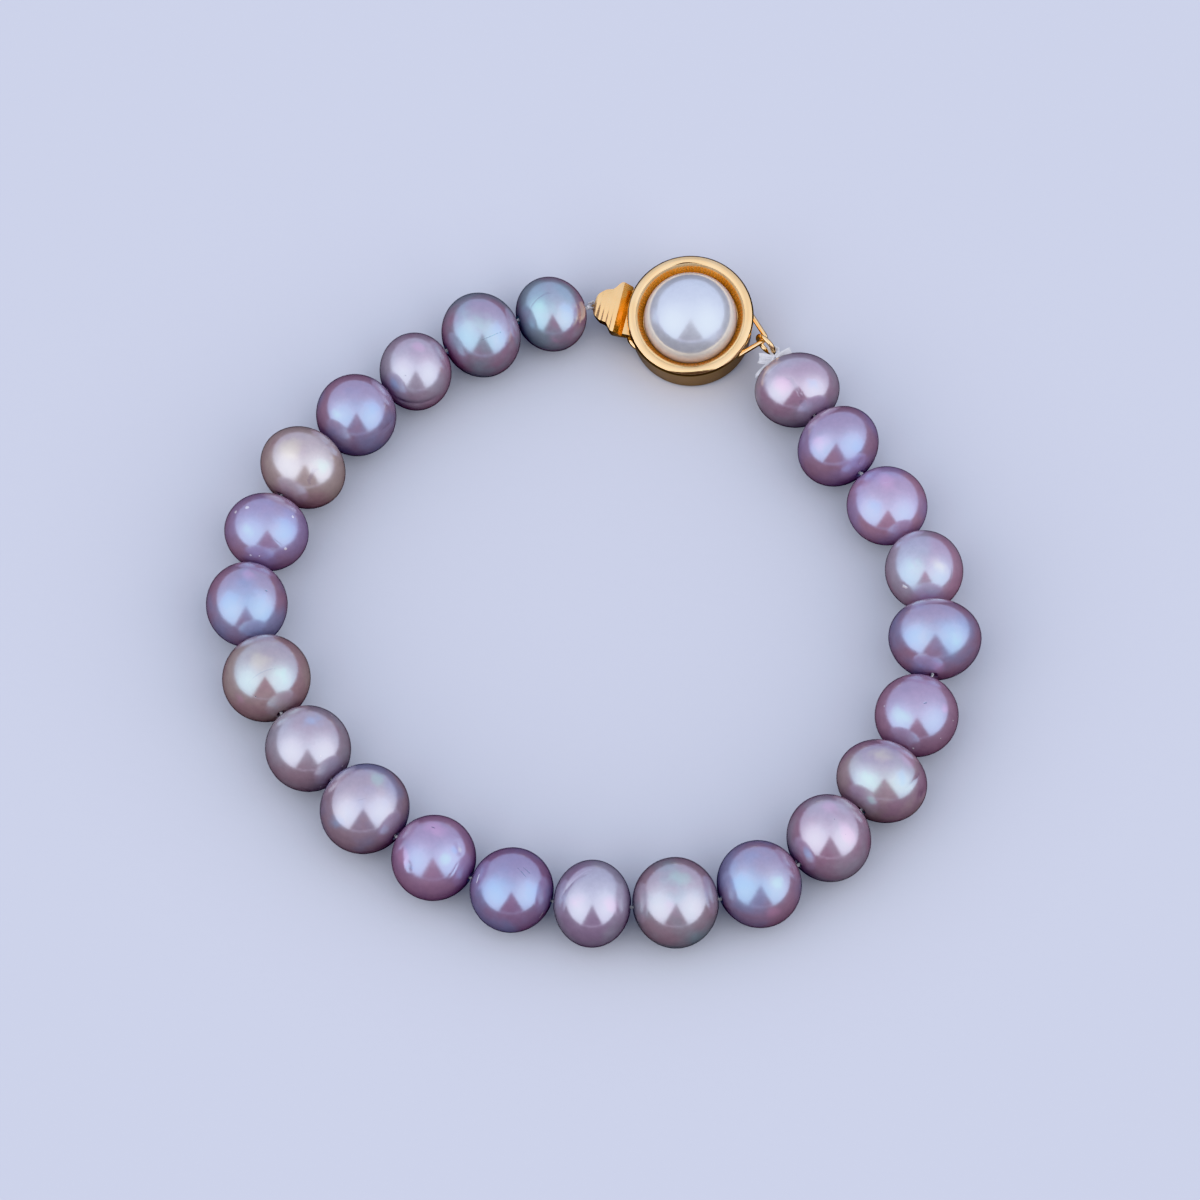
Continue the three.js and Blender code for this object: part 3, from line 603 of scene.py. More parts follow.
def make_nacre_group():
    """Nacre: cloudy patches of overtone over the body colour, with fine mottling."""
    tree, given, put = new_group(
        "nacre",
        [
            ("Body", "Color", (0.3, 0.2, 0.3, 1)),
            ("Overtone", "Color", (0.5, 0.5, 0.6, 1)),
            ("Amount", "Float", 0.5),
            ("Seed", "Vector", (0, 0, 0)),
        ],
        [("Color", "Color"), ("Roughness", "Float"), ("Height", "Float")],
    )
    place = node(tree, "TexCoord").outputs["Object"]
    place = vector_maths(tree, "ADD", place, given["Seed"])
    clouds = node(tree, "TexNoise", {"Vector": place, "Scale": CLOUD_SCALE, "Detail": 3, "Roughness": 0.45})
    mottle = node(tree, "TexNoise", {"Vector": place, "Scale": MOTTLE_SCALE, "Detail": 4, "Roughness": 0.6})
    skin = node(tree, "TexNoise", {"Vector": place, "Scale": SKIN_SCALE, "Detail": 0})
    patches = ranged(tree, clouds.outputs["Fac"], 0.36, 0.66)
    amount = maths(tree, "MULTIPLY", patches, given["Amount"])
    colour = mixed(tree, amount, given["Body"], given["Overtone"])
    shade = ranged(tree, mottle.outputs["Fac"], 0.3, 0.7, 0.95, 1.04)
    tree.links.new(scaled(tree, colour, shade), put["Color"])
    tree.links.new(ranged(tree, clouds.outputs["Fac"], 0.35, 0.65, 0.17, 0.24), put["Roughness"])
    tree.links.new(skin.outputs["Fac"], put["Height"])
    return tree


def make_mark_group():
    """A soft stroke on a surface, in the plane through Middle that is square to Square: 1 on it, else 0.

    Core is the share of its width that it covers fully, and Grain the scale of its ragged edge.
    """
    tree, given, put = new_group(
        "mark",
        [
            ("Middle", "Vector", (0, 0, 0)),
            ("Square", "Vector", (1, 0, 0)),
            ("Half Length", "Float", 0.001),
            ("Half Width", "Float", 0.0001),
            ("Core", "Float", CORE),
            ("Grain", "Float", GRAIN),
        ],
        [("Mask", "Float")],
    )
    place = node(tree, "TexCoord").outputs["Object"]
    ragged = node(tree, "TexNoise", {"Vector": place, "Scale": given["Grain"], "Detail": 2}).outputs["Fac"]
    offset = vector_maths(tree, "SUBTRACT", place, given["Middle"])
    aside = maths(tree, "ABSOLUTE", vector_maths(tree, "DOT_PRODUCT", offset, given["Square"], "Value"))
    width = maths(tree, "DIVIDE", aside, given["Half Width"])
    away = vector_maths(tree, "LENGTH", offset, (0, 0, 0), "Value")
    length = maths(tree, "DIVIDE", away, given["Half Length"])
    wobble = ranged(tree, ragged, 0.3, 0.7, -0.3, 0.3)
    across = ranged(tree, maths(tree, "ADD", width, wobble), given["Core"], 1.1, 1.0, 0.0)
    ends = ranged(tree, maths(tree, "ADD", length, wobble), given["Core"], 1.1, 1.0, 0.0)
    tree.links.new(maths(tree, "MULTIPLY", across, ends), put["Mask"])
    return tree


def make_gold_group():
    """Polished gold with hairline scratches and a faint unevenness."""
    tree, given, put = new_group(
        "gold_polish",
        [("Light", "Color", (1, 1, 1, 1)), ("Deep", "Color", (1, 1, 1, 1)), ("Wear", "Float", 1.0)],
        [("Color", "Color"), ("Roughness", "Float"), ("Height", "Float")],
    )
    place = node(tree, "TexCoord").outputs["Object"]
    stretched = node(tree, "Mapping", {"Vector": place, "Rotation": (0.3, 0.5, 0.7), "Scale": (1, 7, 1)})
    across = {"Vector": stretched.outputs[0], "Scale": HAIR_SCALE, "Detail": 5, "Roughness": 0.7}
    hairs = node(tree, "TexNoise", across)
    swell = node(tree, "TexNoise", {"Vector": place, "Scale": SWELL_SCALE, "Detail": 2})
    warm = ranged(tree, swell.outputs["Fac"], 0.35, 0.65)
    colour = mixed(tree, warm, given["Light"], given["Deep"])
    tree.links.new(colour, put["Color"])
    worn = ranged(tree, hairs.outputs["Fac"], 0.4, 0.75, 0.13, 0.25)
    tree.links.new(maths(tree, "MULTIPLY", worn, given["Wear"]), put["Roughness"])
    raised = maths(tree, "MULTIPLY", hairs.outputs["Fac"], HAIR_RELIEF)
    tree.links.new(maths(tree, "ADD", swell.outputs["Fac"], raised), put["Height"])
    return tree


# Materials

NACRE_IOR = 2.2
FILM_IOR = 2.6
OVERTONE_AMOUNT = 0.55
SKIN_RELIEF = 0.06
WHITE_SKIN_RELIEF = 0.1
WHITE_BODY = (0.50, 0.49, 0.52, 1)
WHITE_OVERTONE = (0.56, 0.56, 0.58, 1)
WHITE_IOR = 1.8
WHITE_FILM = 38
SILK_SHADE = (0.50, 0.48, 0.48, 1)
SILK_WHITE = (0.84, 0.83, 0.83, 1)

# Each gold's lighter and deeper colour, and how worn its polish is
Gold = namedtuple("Gold", "light deep wear")
BOX_GOLD = Gold((1.0, 0.70, 0.37, 1), (0.97, 0.65, 0.32, 1), 1.0)
# The seat's gold is a deeper orange copy of the box's: painted reflection of the warm light that bounces
# between the gold walls of its recess
SEAT_GOLD_PAINTED_REFLECTION = Gold((1.0, 0.55, 0.20, 1), (0.97, 0.50, 0.16, 1), 1.8)
# The tongue's gold is a slightly deeper copy of the box's: painted reflection of the warm light between it
# and the rim
TONGUE_GOLD_PAINTED_REFLECTION = Gold((1.0, 0.67, 0.33, 1), (0.97, 0.62, 0.28, 1), 1.4)

# Colours of the marks: a chip's is the nacre's own, a pit's, scar's or crease's is painted shade, a sheen's
# a painted highlight and a glint's a painted coloured reflection
MARK_AND_PAINTED_LIGHT_COLOURS = {
    SHADED_SCAR: (0.07, 0.03, 0.05, 1),
    SHADED_PIT: (0.07, 0.04, 0.06, 1),
    CHIP: (0.72, 0.62, 0.62, 1),
    SHADED_CREASE: (0.16, 0.10, 0.15, 1),
    PAINTED_SHEEN: (0.50, 0.50, 0.56, 1),
    AZURE: (0.35, 0.62, 0.95, 1),
    GREEN: (0.45, 0.82, 0.66, 1),
    ROSY: (0.86, 0.44, 0.64, 1),
    GOLDEN: (0.90, 0.80, 0.50, 1),
}
MARK_STRENGTH = {SHADED_SCAR: 0.85, SHADED_PIT: 0.8, CHIP: 0.9, SHADED_CREASE: 0.3, PAINTED_SHEEN: 0.12}
MARK_DEPTH = {SHADED_SCAR: -0.16, SHADED_PIT: -0.3, CHIP: 0.25, SHADED_CREASE: -0.08, PAINTED_SHEEN: 0.03}
CORE = 0.5
GRAIN = 2600

# Glints are painted coloured reflections of the lamps: they have no depth and no edge, and a little of the
# gloss of metal in their own colour
PAINTED_GLINTS = (AZURE, GREEN, ROSY, GOLDEN)
PAINTED_GLINT_STRENGTH = 0.28
PAINTED_GLINT_GLOSS = 0.16
PAINTED_GLINT_CORE = 0.0
PAINTED_GLINT_GRAIN = 480


def camera_axes():
    """Right, up and towards the camera, as the camera sees the object."""
    towards = towards_camera()
    right = Vector((1, 0, 0))
    return right, towards.cross(right), towards


def on_pearl(centre, half_sizes, across, up):
    """The point and the outward direction of a pearl where the camera sees the shares across and up."""
    right, upward, towards = camera_axes()
    depth = math.sqrt(max(0.0, 1 - across * across - up * up))
    outward = right * across + upward * up + towards * depth
    reach = 1 / math.sqrt(sum((outward[i] / half_sizes[i]) ** 2 for i in range(3)))
    return centre + outward * reach, outward


def mark_shape(mark, centre, half_sizes):
    """A mark's middle, the direction square to its stroke along the surface, and half its length."""
    dots = [on_pearl(centre, half_sizes, across, up)[0] for across, up in mark.path]
    if len(dots) == 1:
        return dots[0], (dots[0] - centre).orthogonal().normalized(), mark.broad / 2
    half_length = (dots[-1] - dots[0]).length / 2
    if len(dots) == 2:
        middle, _ = on_pearl(centre, half_sizes, *(Vector(mark.path[0]) + Vector(mark.path[1])) / 2)
        return middle, (dots[1] - dots[0]).cross(middle - centre).normalized(), half_length
    square = (dots[1] - dots[0]).cross(dots[2] - dots[1]).normalized()
    return dots[1], square, half_length


def mark_mask(tree, mark, centre, half_sizes):
    middle, square, half_length = mark_shape(mark, centre, half_sizes)
    stroke = node(tree, "Group", node_tree=mark_group)
    stroke.inputs["Middle"].default_value = middle * MM
    stroke.inputs["Square"].default_value = square
    stroke.inputs["Half Length"].default_value = half_length * MM
    stroke.inputs["Half Width"].default_value = mark.broad / 2 * MM
    if mark.look in PAINTED_GLINTS:
        stroke.inputs["Core"].default_value = PAINTED_GLINT_CORE
        stroke.inputs["Grain"].default_value = PAINTED_GLINT_GRAIN
    return stroke.outputs["Mask"]


# Mixes a mark in: painted shade for a pit, scar or crease, a painted highlight for a sheen and the nacre's
# own colour for a chip, each over a real dent or rise
def add_mark(tree, mark, mask, colour, height):
    shown = maths(tree, "MULTIPLY", mask, MARK_STRENGTH[mark.look])
    colour = mixed(tree, shown, colour, MARK_AND_PAINTED_LIGHT_COLOURS[mark.look])
    depth = maths(tree, "MULTIPLY", mask, MARK_DEPTH[mark.look])
    return colour, maths(tree, "ADD", height, depth)


# A glint: a painted coloured reflection, mixed into the colour and given a little metallic gloss
def add_painted_glint(tree, mark, mask, colour, gloss):
    shown = maths(tree, "MULTIPLY", mask, PAINTED_GLINT_STRENGTH)
    colour = mixed(tree, shown, colour, MARK_AND_PAINTED_LIGHT_COLOURS[mark.look])
    return colour, maths(tree, "MAXIMUM", gloss, maths(tree, "MULTIPLY", mask, PAINTED_GLINT_GLOSS))


def dented(point, mark, centre, half_sizes):
    """How deep a mark is at a point of the pearl, in millimetres."""
    middle, square, half_length = mark_shape(mark, centre, half_sizes)
    offset = centre + point - middle
    aside = offset.dot(square) / (mark.broad * 0.9)
    along = offset.length / (half_length + mark.broad * 0.6)
    return mark.deep * math.exp(-aside * aside) * max(0.0, 1 - along**4)


def nacre_material(number, pearl, centre, half_sizes):
    def surface(tree):
        nacre = node(tree, "Group", node_tree=nacre_group)
        nacre.inputs["Body"].default_value = (*pearl.body, 1)
        nacre.inputs["Overtone"].default_value = (*pearl.overtone, 1)
        nacre.inputs["Amount"].default_value = OVERTONE_AMOUNT
        nacre.inputs["Seed"].default_value = (number * 0.013, number * 0.007, 0)
        colour = nacre.outputs["Color"]
        height = maths(tree, "MULTIPLY", nacre.outputs["Height"], SKIN_RELIEF)
        gloss = 0.0
        for mark in [mark for mark in MARKS if mark.pearl == number]:
            mask = mark_mask(tree, mark, centre, half_sizes)
            if mark.look in PAINTED_GLINTS:
                colour, gloss = add_painted_glint(tree, mark, mask, colour, gloss)
            else:
                colour, height = add_mark(tree, mark, mask, colour, height)
        return {
            "Base Color": colour,
            "Metallic": gloss,
            "Roughness": nacre.outputs["Roughness"],
            "IOR": NACRE_IOR,
            "Thin Film Thickness": pearl.film,
            "Thin Film IOR": FILM_IOR,
            "Coat Weight": 0.5,
            "Coat Roughness": 0.07,
            "Coat IOR": 1.4,
            "Height": height,
        }

    return new_material(f"nacre_{number:02d}", surface)


def white_nacre_material():
    def surface(tree):
        nacre = node(tree, "Group", node_tree=nacre_group)
        nacre.inputs["Body"].default_value = WHITE_BODY
        nacre.inputs["Overtone"].default_value = WHITE_OVERTONE
        return {
            "Base Color": nacre.outputs["Color"],
            "Roughness": nacre.outputs["Roughness"],
            "IOR": WHITE_IOR,
            "Thin Film Thickness": WHITE_FILM,
            "Thin Film IOR": FILM_IOR,
            "Coat Weight": 0.5,
            "Coat Roughness": 0.06,
            "Height": maths(tree, "MULTIPLY", nacre.outputs["Height"], WHITE_SKIN_RELIEF),
        }

    return new_material("white_nacre", surface)


def gold_material(name, look):
    def surface(tree):
        polish = node(tree, "Group", node_tree=gold_group)
        polish.inputs["Light"].default_value = look.light
        polish.inputs["Deep"].default_value = look.deep
        polish.inputs["Wear"].default_value = look.wear
        return {
            "Base Color": polish.outputs["Color"],
            "Metallic": 1.0,
            "Roughness": polish.outputs["Roughness"],
            "Height": polish.outputs["Height"],
        }

    return new_material(name, surface, bump_distance=0.012)


def silk_material():
    def surface(tree):
        place = node(tree, "TexCoord").outputs["Object"]
        strands = {"Vector": place, "Scale": FIBRE_SCALE, "Detail": 4, "Roughness": 0.7}
        fibres = node(tree, "TexNoise", strands)
        colour = mixed(tree, fibres.outputs["Fac"], SILK_SHADE, SILK_WHITE)
        return {
            "Base Color": colour,
            "Roughness": 0.55,
            "Sheen Weight": 0.4,
            "Sheen Roughness": 0.4,
            "Height": fibres.outputs["Fac"],
        }

    return new_material("silk", surface)


# Pieces


def add_piece(shape, name, material, place=None, smooth_angle=40):
    """Makes the piece of a finished shape in millimetres, which place moves to the bracelet's frame."""
    bmesh.ops.transform(shape, matrix=place or Matrix(), verts=shape.verts)
    bmesh.ops.remove_doubles(shape, verts=shape.verts, dist=MERGE_DISTANCE)
    bmesh.ops.recalc_face_normals(shape, faces=shape.faces)
    bmesh.ops.scale(shape, vec=(MM, MM, MM), verts=shape.verts)
    data = bpy.data.meshes.new(name)
    shape.to_mesh(data)
    shape.free()
    data.shade_smooth()
    data.set_sharp_from_angle(angle=math.radians(smooth_angle))
    data.materials.append(material)
    piece = bpy.data.objects.new(name, data)
    bpy.context.scene.collection.objects.link(piece)
    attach(piece, "root")
    return piece


def chain(shape, points, closed=False):
    """Vertices at points, joined by edges."""
    verts = [shape.verts.new(point) for point in points]
    edges = [shape.edges.new(pair) for pair in zip(verts, verts[1:])]
    if closed:
        edges.append(shape.edges.new((verts[-1], verts[0])))
    return verts + edges


def spun(points, axis, steps, closed=False):
    """A solid turned about an axis through the origin, from a profile of points."""
    shape = bmesh.new()
    geometry = chain(shape, points, closed)
    bmesh.ops.spin(
        shape, geom=geometry, cent=(0, 0, 0), axis=axis, angle=math.tau, steps=steps, use_merge=True
    )
    bmesh.ops.remove_doubles(shape, verts=shape.verts, dist=MERGE_DISTANCE)
    return shape


def prism(points, depth):
    """A flat outline of points, extruded along depth, with its thickness centred."""
    shape = bmesh.new()
    face = shape.faces.new([shape.verts.new(Vector(point) - depth / 2) for point in points])
    made = bmesh.ops.extrude_face_region(shape, geom=[face])["geom"]
    moved = [item for item in made if isinstance(item, bmesh.types.BMVert)]
    bmesh.ops.translate(shape, vec=depth, verts=moved)
    bmesh.ops.recalc_face_normals(shape, faces=shape.faces)
    return shape


def combined(body, tool, operation):
    """body cut by tool, joined with it or kept inside it. Both shapes are used up."""
    holders = []
    for shape in (body, tool):
        data = bpy.data.meshes.new("shape")
        shape.to_mesh(data)
        shape.free()
        holder = bpy.data.objects.new("shape", data)
        bpy.context.scene.collection.objects.link(holder)
        holders.append(holder)
    modifier = holders[0].modifiers.new("cut", "BOOLEAN")
    modifier.operation = operation
    modifier.object = holders[1]
    made = bmesh.new()
    made.from_object(holders[0], bpy.context.evaluated_depsgraph_get())
    for holder in holders:
        bpy.data.meshes.remove(holder.data)
    return made


def joined(*shapes):
    """Several shapes in one, each still closed by itself."""
    whole = bmesh.new()
    for shape in shapes:
        data = bpy.data.meshes.new("shape")
        shape.to_mesh(data)
        shape.free()
        whole.from_mesh(data)
        bpy.data.meshes.remove(data)
    return whole


def arc(centre, radius, start, end, steps):
    """Points of an arc in the plane of x and z. Angles are in degrees from x towards z."""
    points = []
    for i in range(steps + 1):
        angle = math.radians(start + (end - start) * i / steps)
        x = centre[0] + radius * math.cos(angle)
        z = centre[1] + radius * math.sin(angle)
        points.append(Vector((x, 0, z)))
    return points


def smooth_line(points, steps, closed=False):
    """A curve through points, with steps pieces between each two."""
    line = []
    count = len(points)
    for i in range(count if closed else count - 1):
        if closed:
            a, b, c, d = (points[(i + k) % count] for k in (-1, 0, 1, 2))
        else:
            a, b, c, d = (points[min(max(i + k, 0), count - 1)] for k in (-1, 0, 1, 2))
        for k in range(steps):
            t = k / steps
            bend = (a * 2 - b * 5 + c * 4 - d) * t * t
            twist = (b * 3 - a - c * 3 + d) * t**3
            line.append((b * 2 + (c - a) * t + bend + twist) / 2)
    if not closed:
        line.append(points[-1].copy())
    return line


def tube(points, diameter, closed=False, fineness=3):
    """A round wire along points."""
    curve = bpy.data.curves.new("wire", "CURVE")
    curve.dimensions = "3D"
    curve.bevel_depth = diameter / 2
    curve.bevel_resolution = fineness
    curve.use_fill_caps = True
    spline = curve.splines.new("POLY")
    spline.points.add(len(points) - 1)
    for dot, point in zip(spline.points, points):
        dot.co = (*point, 1)
    spline.use_cyclic_u = closed
    holder = bpy.data.objects.new("wire", curve)
    data = bpy.data.meshes.new_from_object(holder)
    shape = bmesh.new()
    shape.from_mesh(data)
    bpy.data.objects.remove(holder)
    bpy.data.curves.remove(curve)
    bpy.data.meshes.remove(data)
    bmesh.ops.remove_doubles(shape, verts=shape.verts, dist=MERGE_DISTANCE)
    return shape


# Pearls


def pearl_centres():
    centres = []
    for number in range(1, len(PEARLS) + 1):
        low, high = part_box(f"pearl_{number:02d}")
        centres.append((low + high) / 2 / MM)
    return centres


def pearl_drills(centres):
    """The direction of each pearl's drilling, which follows its neighbours on the thread."""
    drills = []
    for before, after in zip(centres, centres[2:]):
        drills.append((after - before).normalized())
    first = (centres[1] - centres[0]).normalized()
    last = (centres[-1] - centres[-2]).normalized()
    return [(first * 2 - drills[0]).normalized(), *drills, (last * 2 - drills[-1]).normalized()]


def pearl_profile():
    """From the middle of the drilled hole out to one mouth, over the ball and back in at the other."""
    ball = PEARL_SIZE / 2
    hole = DRILL_DIAMETER / 2
    mouth = math.degrees(math.asin((hole + DRILL_LIP) / ball))
    wall_end = math.sqrt(ball * ball - hole * hole) - DRILL_LIP
    lip = Vector((wall_end + DRILL_LIP * 0.75, 0, hole + DRILL_LIP * 0.25))
    half = [Vector((0, 0, hole)), Vector((wall_end, 0, hole)), lip]
    over = arc((0, 0), ball, mouth, 180 - mouth, PEARL_STEPS)
    other = [Vector((-point.x, 0, point.z)) for point in reversed(half[1:])]
    return half + over + other


def make_pearl(number, pearl, centre, drill):
    shape = spun(pearl_profile(), (1, 0, 0), PEARL_AROUND, closed=True)
    yaw = math.atan2(drill.y, drill.x) + math.radians(pearl.turn)
    turned = Matrix.Rotation(yaw, 3, "Z")
    sizes = Vector((pearl.along, pearl.wide, pearl.tall))
    own_drill = turned.transposed() @ drill
    own_drill = Vector(own_drill[i] / sizes[i] for i in range(3)).normalized()
    lined_up = Vector((1, 0, 0)).rotation_difference(own_drill).to_matrix()
    bmesh.ops.rotate(shape, cent=(0, 0, 0), matrix=lined_up, verts=shape.verts)
    ball = PEARL_SIZE / 2
    seed = Vector((number * 11.3, number * 5.7, number * 2.1))
    for vert in shape.verts:
        narrowing = 1 - pearl.egg * vert.co.x / ball
        vert.co.y *= narrowing
        vert.co.z *= narrowing
        uneven = noise.noise(vert.co / UNEVEN_SIZE + seed)
        vert.co *= 1 - UNEVENNESS * (1 + uneven) / 2 / ball
    bmesh.ops.scale(shape, vec=sizes, verts=shape.verts)
    bmesh.ops.rotate(shape, cent=(0, 0, 0), matrix=turned, verts=shape.verts)
    half_sizes = [max(vert.co[i] for vert in shape.verts) for i in range(3)]
    dents = [mark for mark in MARKS if mark.pearl == number and mark.deep]
    for vert in shape.verts:
        depth = sum(dented(vert.co, mark, centre, half_sizes) for mark in dents)
        vert.co -= vert.co.normalized() * depth
    material = nacre_material(number, pearl, centre, half_sizes)
    piece = add_piece(shape, f"drilled_pearl_{number:02d}", material, Matrix.Translation(centre))
    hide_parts(f"pearl_{number:02d}")


# Clasp


def clasp_place():
    """The clasp's own frame: x along its axis to the bail, z up out of the half pearl."""
    mount = next(m for m in frame["record"]["mounts"] if m["name"] == "clasp_underside")
    up = -Vector(mount["axis"]).normalized()
    along = Vector((0, 0, 1)).cross(up).normalized()
    turned = Matrix((along, up.cross(along), up)).transposed().to_4x4()
    origin = Vector(mount["pos_m"]) / MM + up * axis_height
    return Matrix.Translation(origin) @ turned


def make_box(gold):
    cavity_top = FLOOR_THICKNESS + CAVITY_HEIGHT
    inner = box_radius - BOX_WALL
    outside = [Vector((0, 0, 0))]
    edge = (box_radius - BOX_EDGE_RADIUS, BOX_EDGE_RADIUS)
    outside += arc(edge, BOX_EDGE_RADIUS, -90, 0, BOX_EDGE_STEPS)
    outside += arc((rim_ring, RIM_HEIGHT), rim_tube, RIM_FOOT, 90 + SEAT_SLOPE, RIM_STEPS)
    outside += [Vector((seat_foot, 0, seat_low)), Vector((seat_foot, 0, deck)), Vector((0, 0, deck))]
    hollow = [
        Vector((0, 0, FLOOR_THICKNESS)),
        Vector((inner, 0, FLOOR_THICKNESS)),
        Vector((inner, 0, cavity_top)),
        Vector((0, 0, cavity_top)),
    ]
    shell = spun(outside, (0, 0, 1), TURNED_STEPS)
    shell = combined(shell, spun(hollow, (0, 0, 1), TURNED_STEPS), "DIFFERENCE")
    slot = bmesh.new()
    bmesh.ops.create_cube(slot, size=1)
    slot_width = TONGUE_WIDTH + 2 * SLOT_CLEARANCE
    bmesh.ops.scale(slot, vec=(box_radius, slot_width, CAVITY_HEIGHT), verts=slot.verts)
    middle = (-box_radius, TONGUE_OFFSET, FLOOR_THICKNESS + CAVITY_HEIGHT / 2)
    bmesh.ops.translate(slot, vec=middle, verts=slot.verts)
    shell = combined(shell, slot, "DIFFERENCE")
    lowered = clasp @ Matrix.Translation((0, 0, -axis_height))
    piece = add_piece(shell, "gold_box", gold, lowered, smooth_angle=30)
    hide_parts("clasp_box")


def make_seat(gold):
    """The milled edge round the half pearl, with fine teeth down the foot of the seat."""
    inner = seat_foot - TEETH_LIP
    outer = seat_foot + TEETH_WIDTH
    profile = [
        Vector((inner, 0, deck)),
        Vector((inner, 0, seat_low - TEETH_RISE)),
        Vector((seat_foot, 0, seat_low + TEETH_RISE)),
        Vector((outer, 0, seat_low + TEETH_WIDTH * math.tan(seat_slope) + TEETH_RISE)),
        Vector((outer, 0, seat_low - TEETH_RISE)),
    ]
    shape = spun(profile, (0, 0, 1), TEETH * TOOTH_STEPS, closed=True)
    for vert in shape.verts:
        if vert.co.z > seat_low:
            angle = math.atan2(vert.co.y, vert.co.x)
            vert.co.z -= TEETH_DEPTH * (1 - abs(math.sin(angle * TEETH / 2)))
    lowered = clasp @ Matrix.Translation((0, 0, -axis_height))
    piece = add_piece(shape, "milled_seat", gold, lowered)


def bail_points():
    corner = Vector((box_radius + BAIL_REACH, 0, 0))
    in_wall = box_radius - BOX_WALL / 2
    feet = []
    for side in (-1, 1):
        y = side * BAIL_SPREAD / 2
        feet.append(Vector((math.sqrt(in_wall * in_wall - y * y), y, 0)))
    start = corner.lerp(feet[0], BAIL_CORNER_SHARE)
    end = corner.lerp(feet[1], BAIL_CORNER_SHARE)
    bend = []
    for i in range(BAIL_STEPS + 1):
        t = i / BAIL_STEPS
        bend.append(start * (1 - t) ** 2 + corner * 2 * t * (1 - t) + end * t * t)
    return [feet[0], *bend, feet[1]]


def make_bail(gold):
    piece = add_piece(tube(bail_points(), BAIL_WIRE, fineness=5), "bail_wire", gold, clasp)


def make_tab(gold):
    shape = bmesh.new()
    bmesh.ops.create_uvsphere(shape, u_segments=32, v_segments=20, radius=0.5)
    bmesh.ops.scale(shape, vec=(TAB_THICKNESS, TAB_LENGTH, TAB_THICKNESS), verts=shape.verts)
    splayed = Matrix.Rotation(math.radians(TAB_SPLAY), 4, "Z")
    out = Matrix.Translation((box_radius + TAB_OVERHANG, 0, TAB_HEIGHT - axis_height))
    round_box = Matrix.Rotation(math.radians(TAB_BEARING), 4, "Z")
    piece = add_piece(shape, "release_tab", gold, clasp @ round_box @ out @ splayed)


def make_half_pearl():
    base = deck + CLASP_PEARL_GAP - axis_height
    radius = CLASP_PEARL_DIAMETER / 2
    quarter = arc((0, 0), 1, 0, 90, CLASP_PEARL_STEPS)
    dome = [Vector((point.x * radius, 0, point.z * CLASP_PEARL_HEIGHT)) for point in quarter]
    dome[-1].x = 0
    shape = spun([Vector((0, 0, 0)), *dome], (0, 0, 1), TURNED_STEPS)
    place = clasp @ Matrix.Translation((0, 0, base))
    piece = add_piece(shape, "half_pearl", white_nacre_material(), place)
    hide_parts("clasp_pearl")


def thumb_profile(upper_leaf):
    tip_top = upper_leaf + THUMB_TIP_THICKNESS
    crest = upper_leaf + THUMB_RISE
    steps = FLUTES * FLUTE_STEPS
    points = []
    for i in range(steps + 1):
        share = i / steps
        flute = math.sin(share * FLUTES * math.pi) ** 2 * FLUTE_DEPTH
        rise = tip_top + (crest - tip_top) * share**THUMB_BOW
        x = -thumb_tip + share * (THUMB_LENGTH - BACK_RUN - CREST_FLAT)
        points.append((x, 0, rise + flute))
    points.append((-thumb_back - BACK_RUN, 0, crest))
    points.append((-thumb_back, 0, upper_leaf + BACK_STEP))
    points.append((-thumb_back, 0, upper_leaf - LEAF_THICKNESS))
    points.append((-thumb_tip + THUMB_LENGTH * THUMB_UNDERCUT, 0, upper_leaf - LEAF_THICKNESS))
    points.append((-thumb_tip, 0, upper_leaf))
    return points


def thumb_outline(share):
    sides = []
    for side in (-1, 1):
        points = []
        for back, half in THUMB_OUTLINE:
            x = -thumb_back - share * THUMB_LENGTH * (1 - back)
            points.append(Vector((x, side * half * THUMB_WIDTH * share, 0)))
        sides.append(smooth_line(points, 4))
    return sides[0] + sides[1][::-1]


def rounded(shape, width):
    """Rounds a shape's real edges, and leaves those between the steps of a curve."""
    bmesh.ops.dissolve_limit(
        shape, angle_limit=math.radians(0.5), verts=shape.verts, edges=shape.edges
    )
    least = math.radians(LEAST_EDGE)
    edges = [edge for edge in shape.edges if edge.is_manifold and edge.calc_face_angle(0) > least]
    bmesh.ops.bevel(
        shape,
        geom=edges,
        offset=width,
        affect="EDGES",
        segments=3,
        profile=0.5,
        material=-1,
        clamp_overlap=True,
    )
    return shape


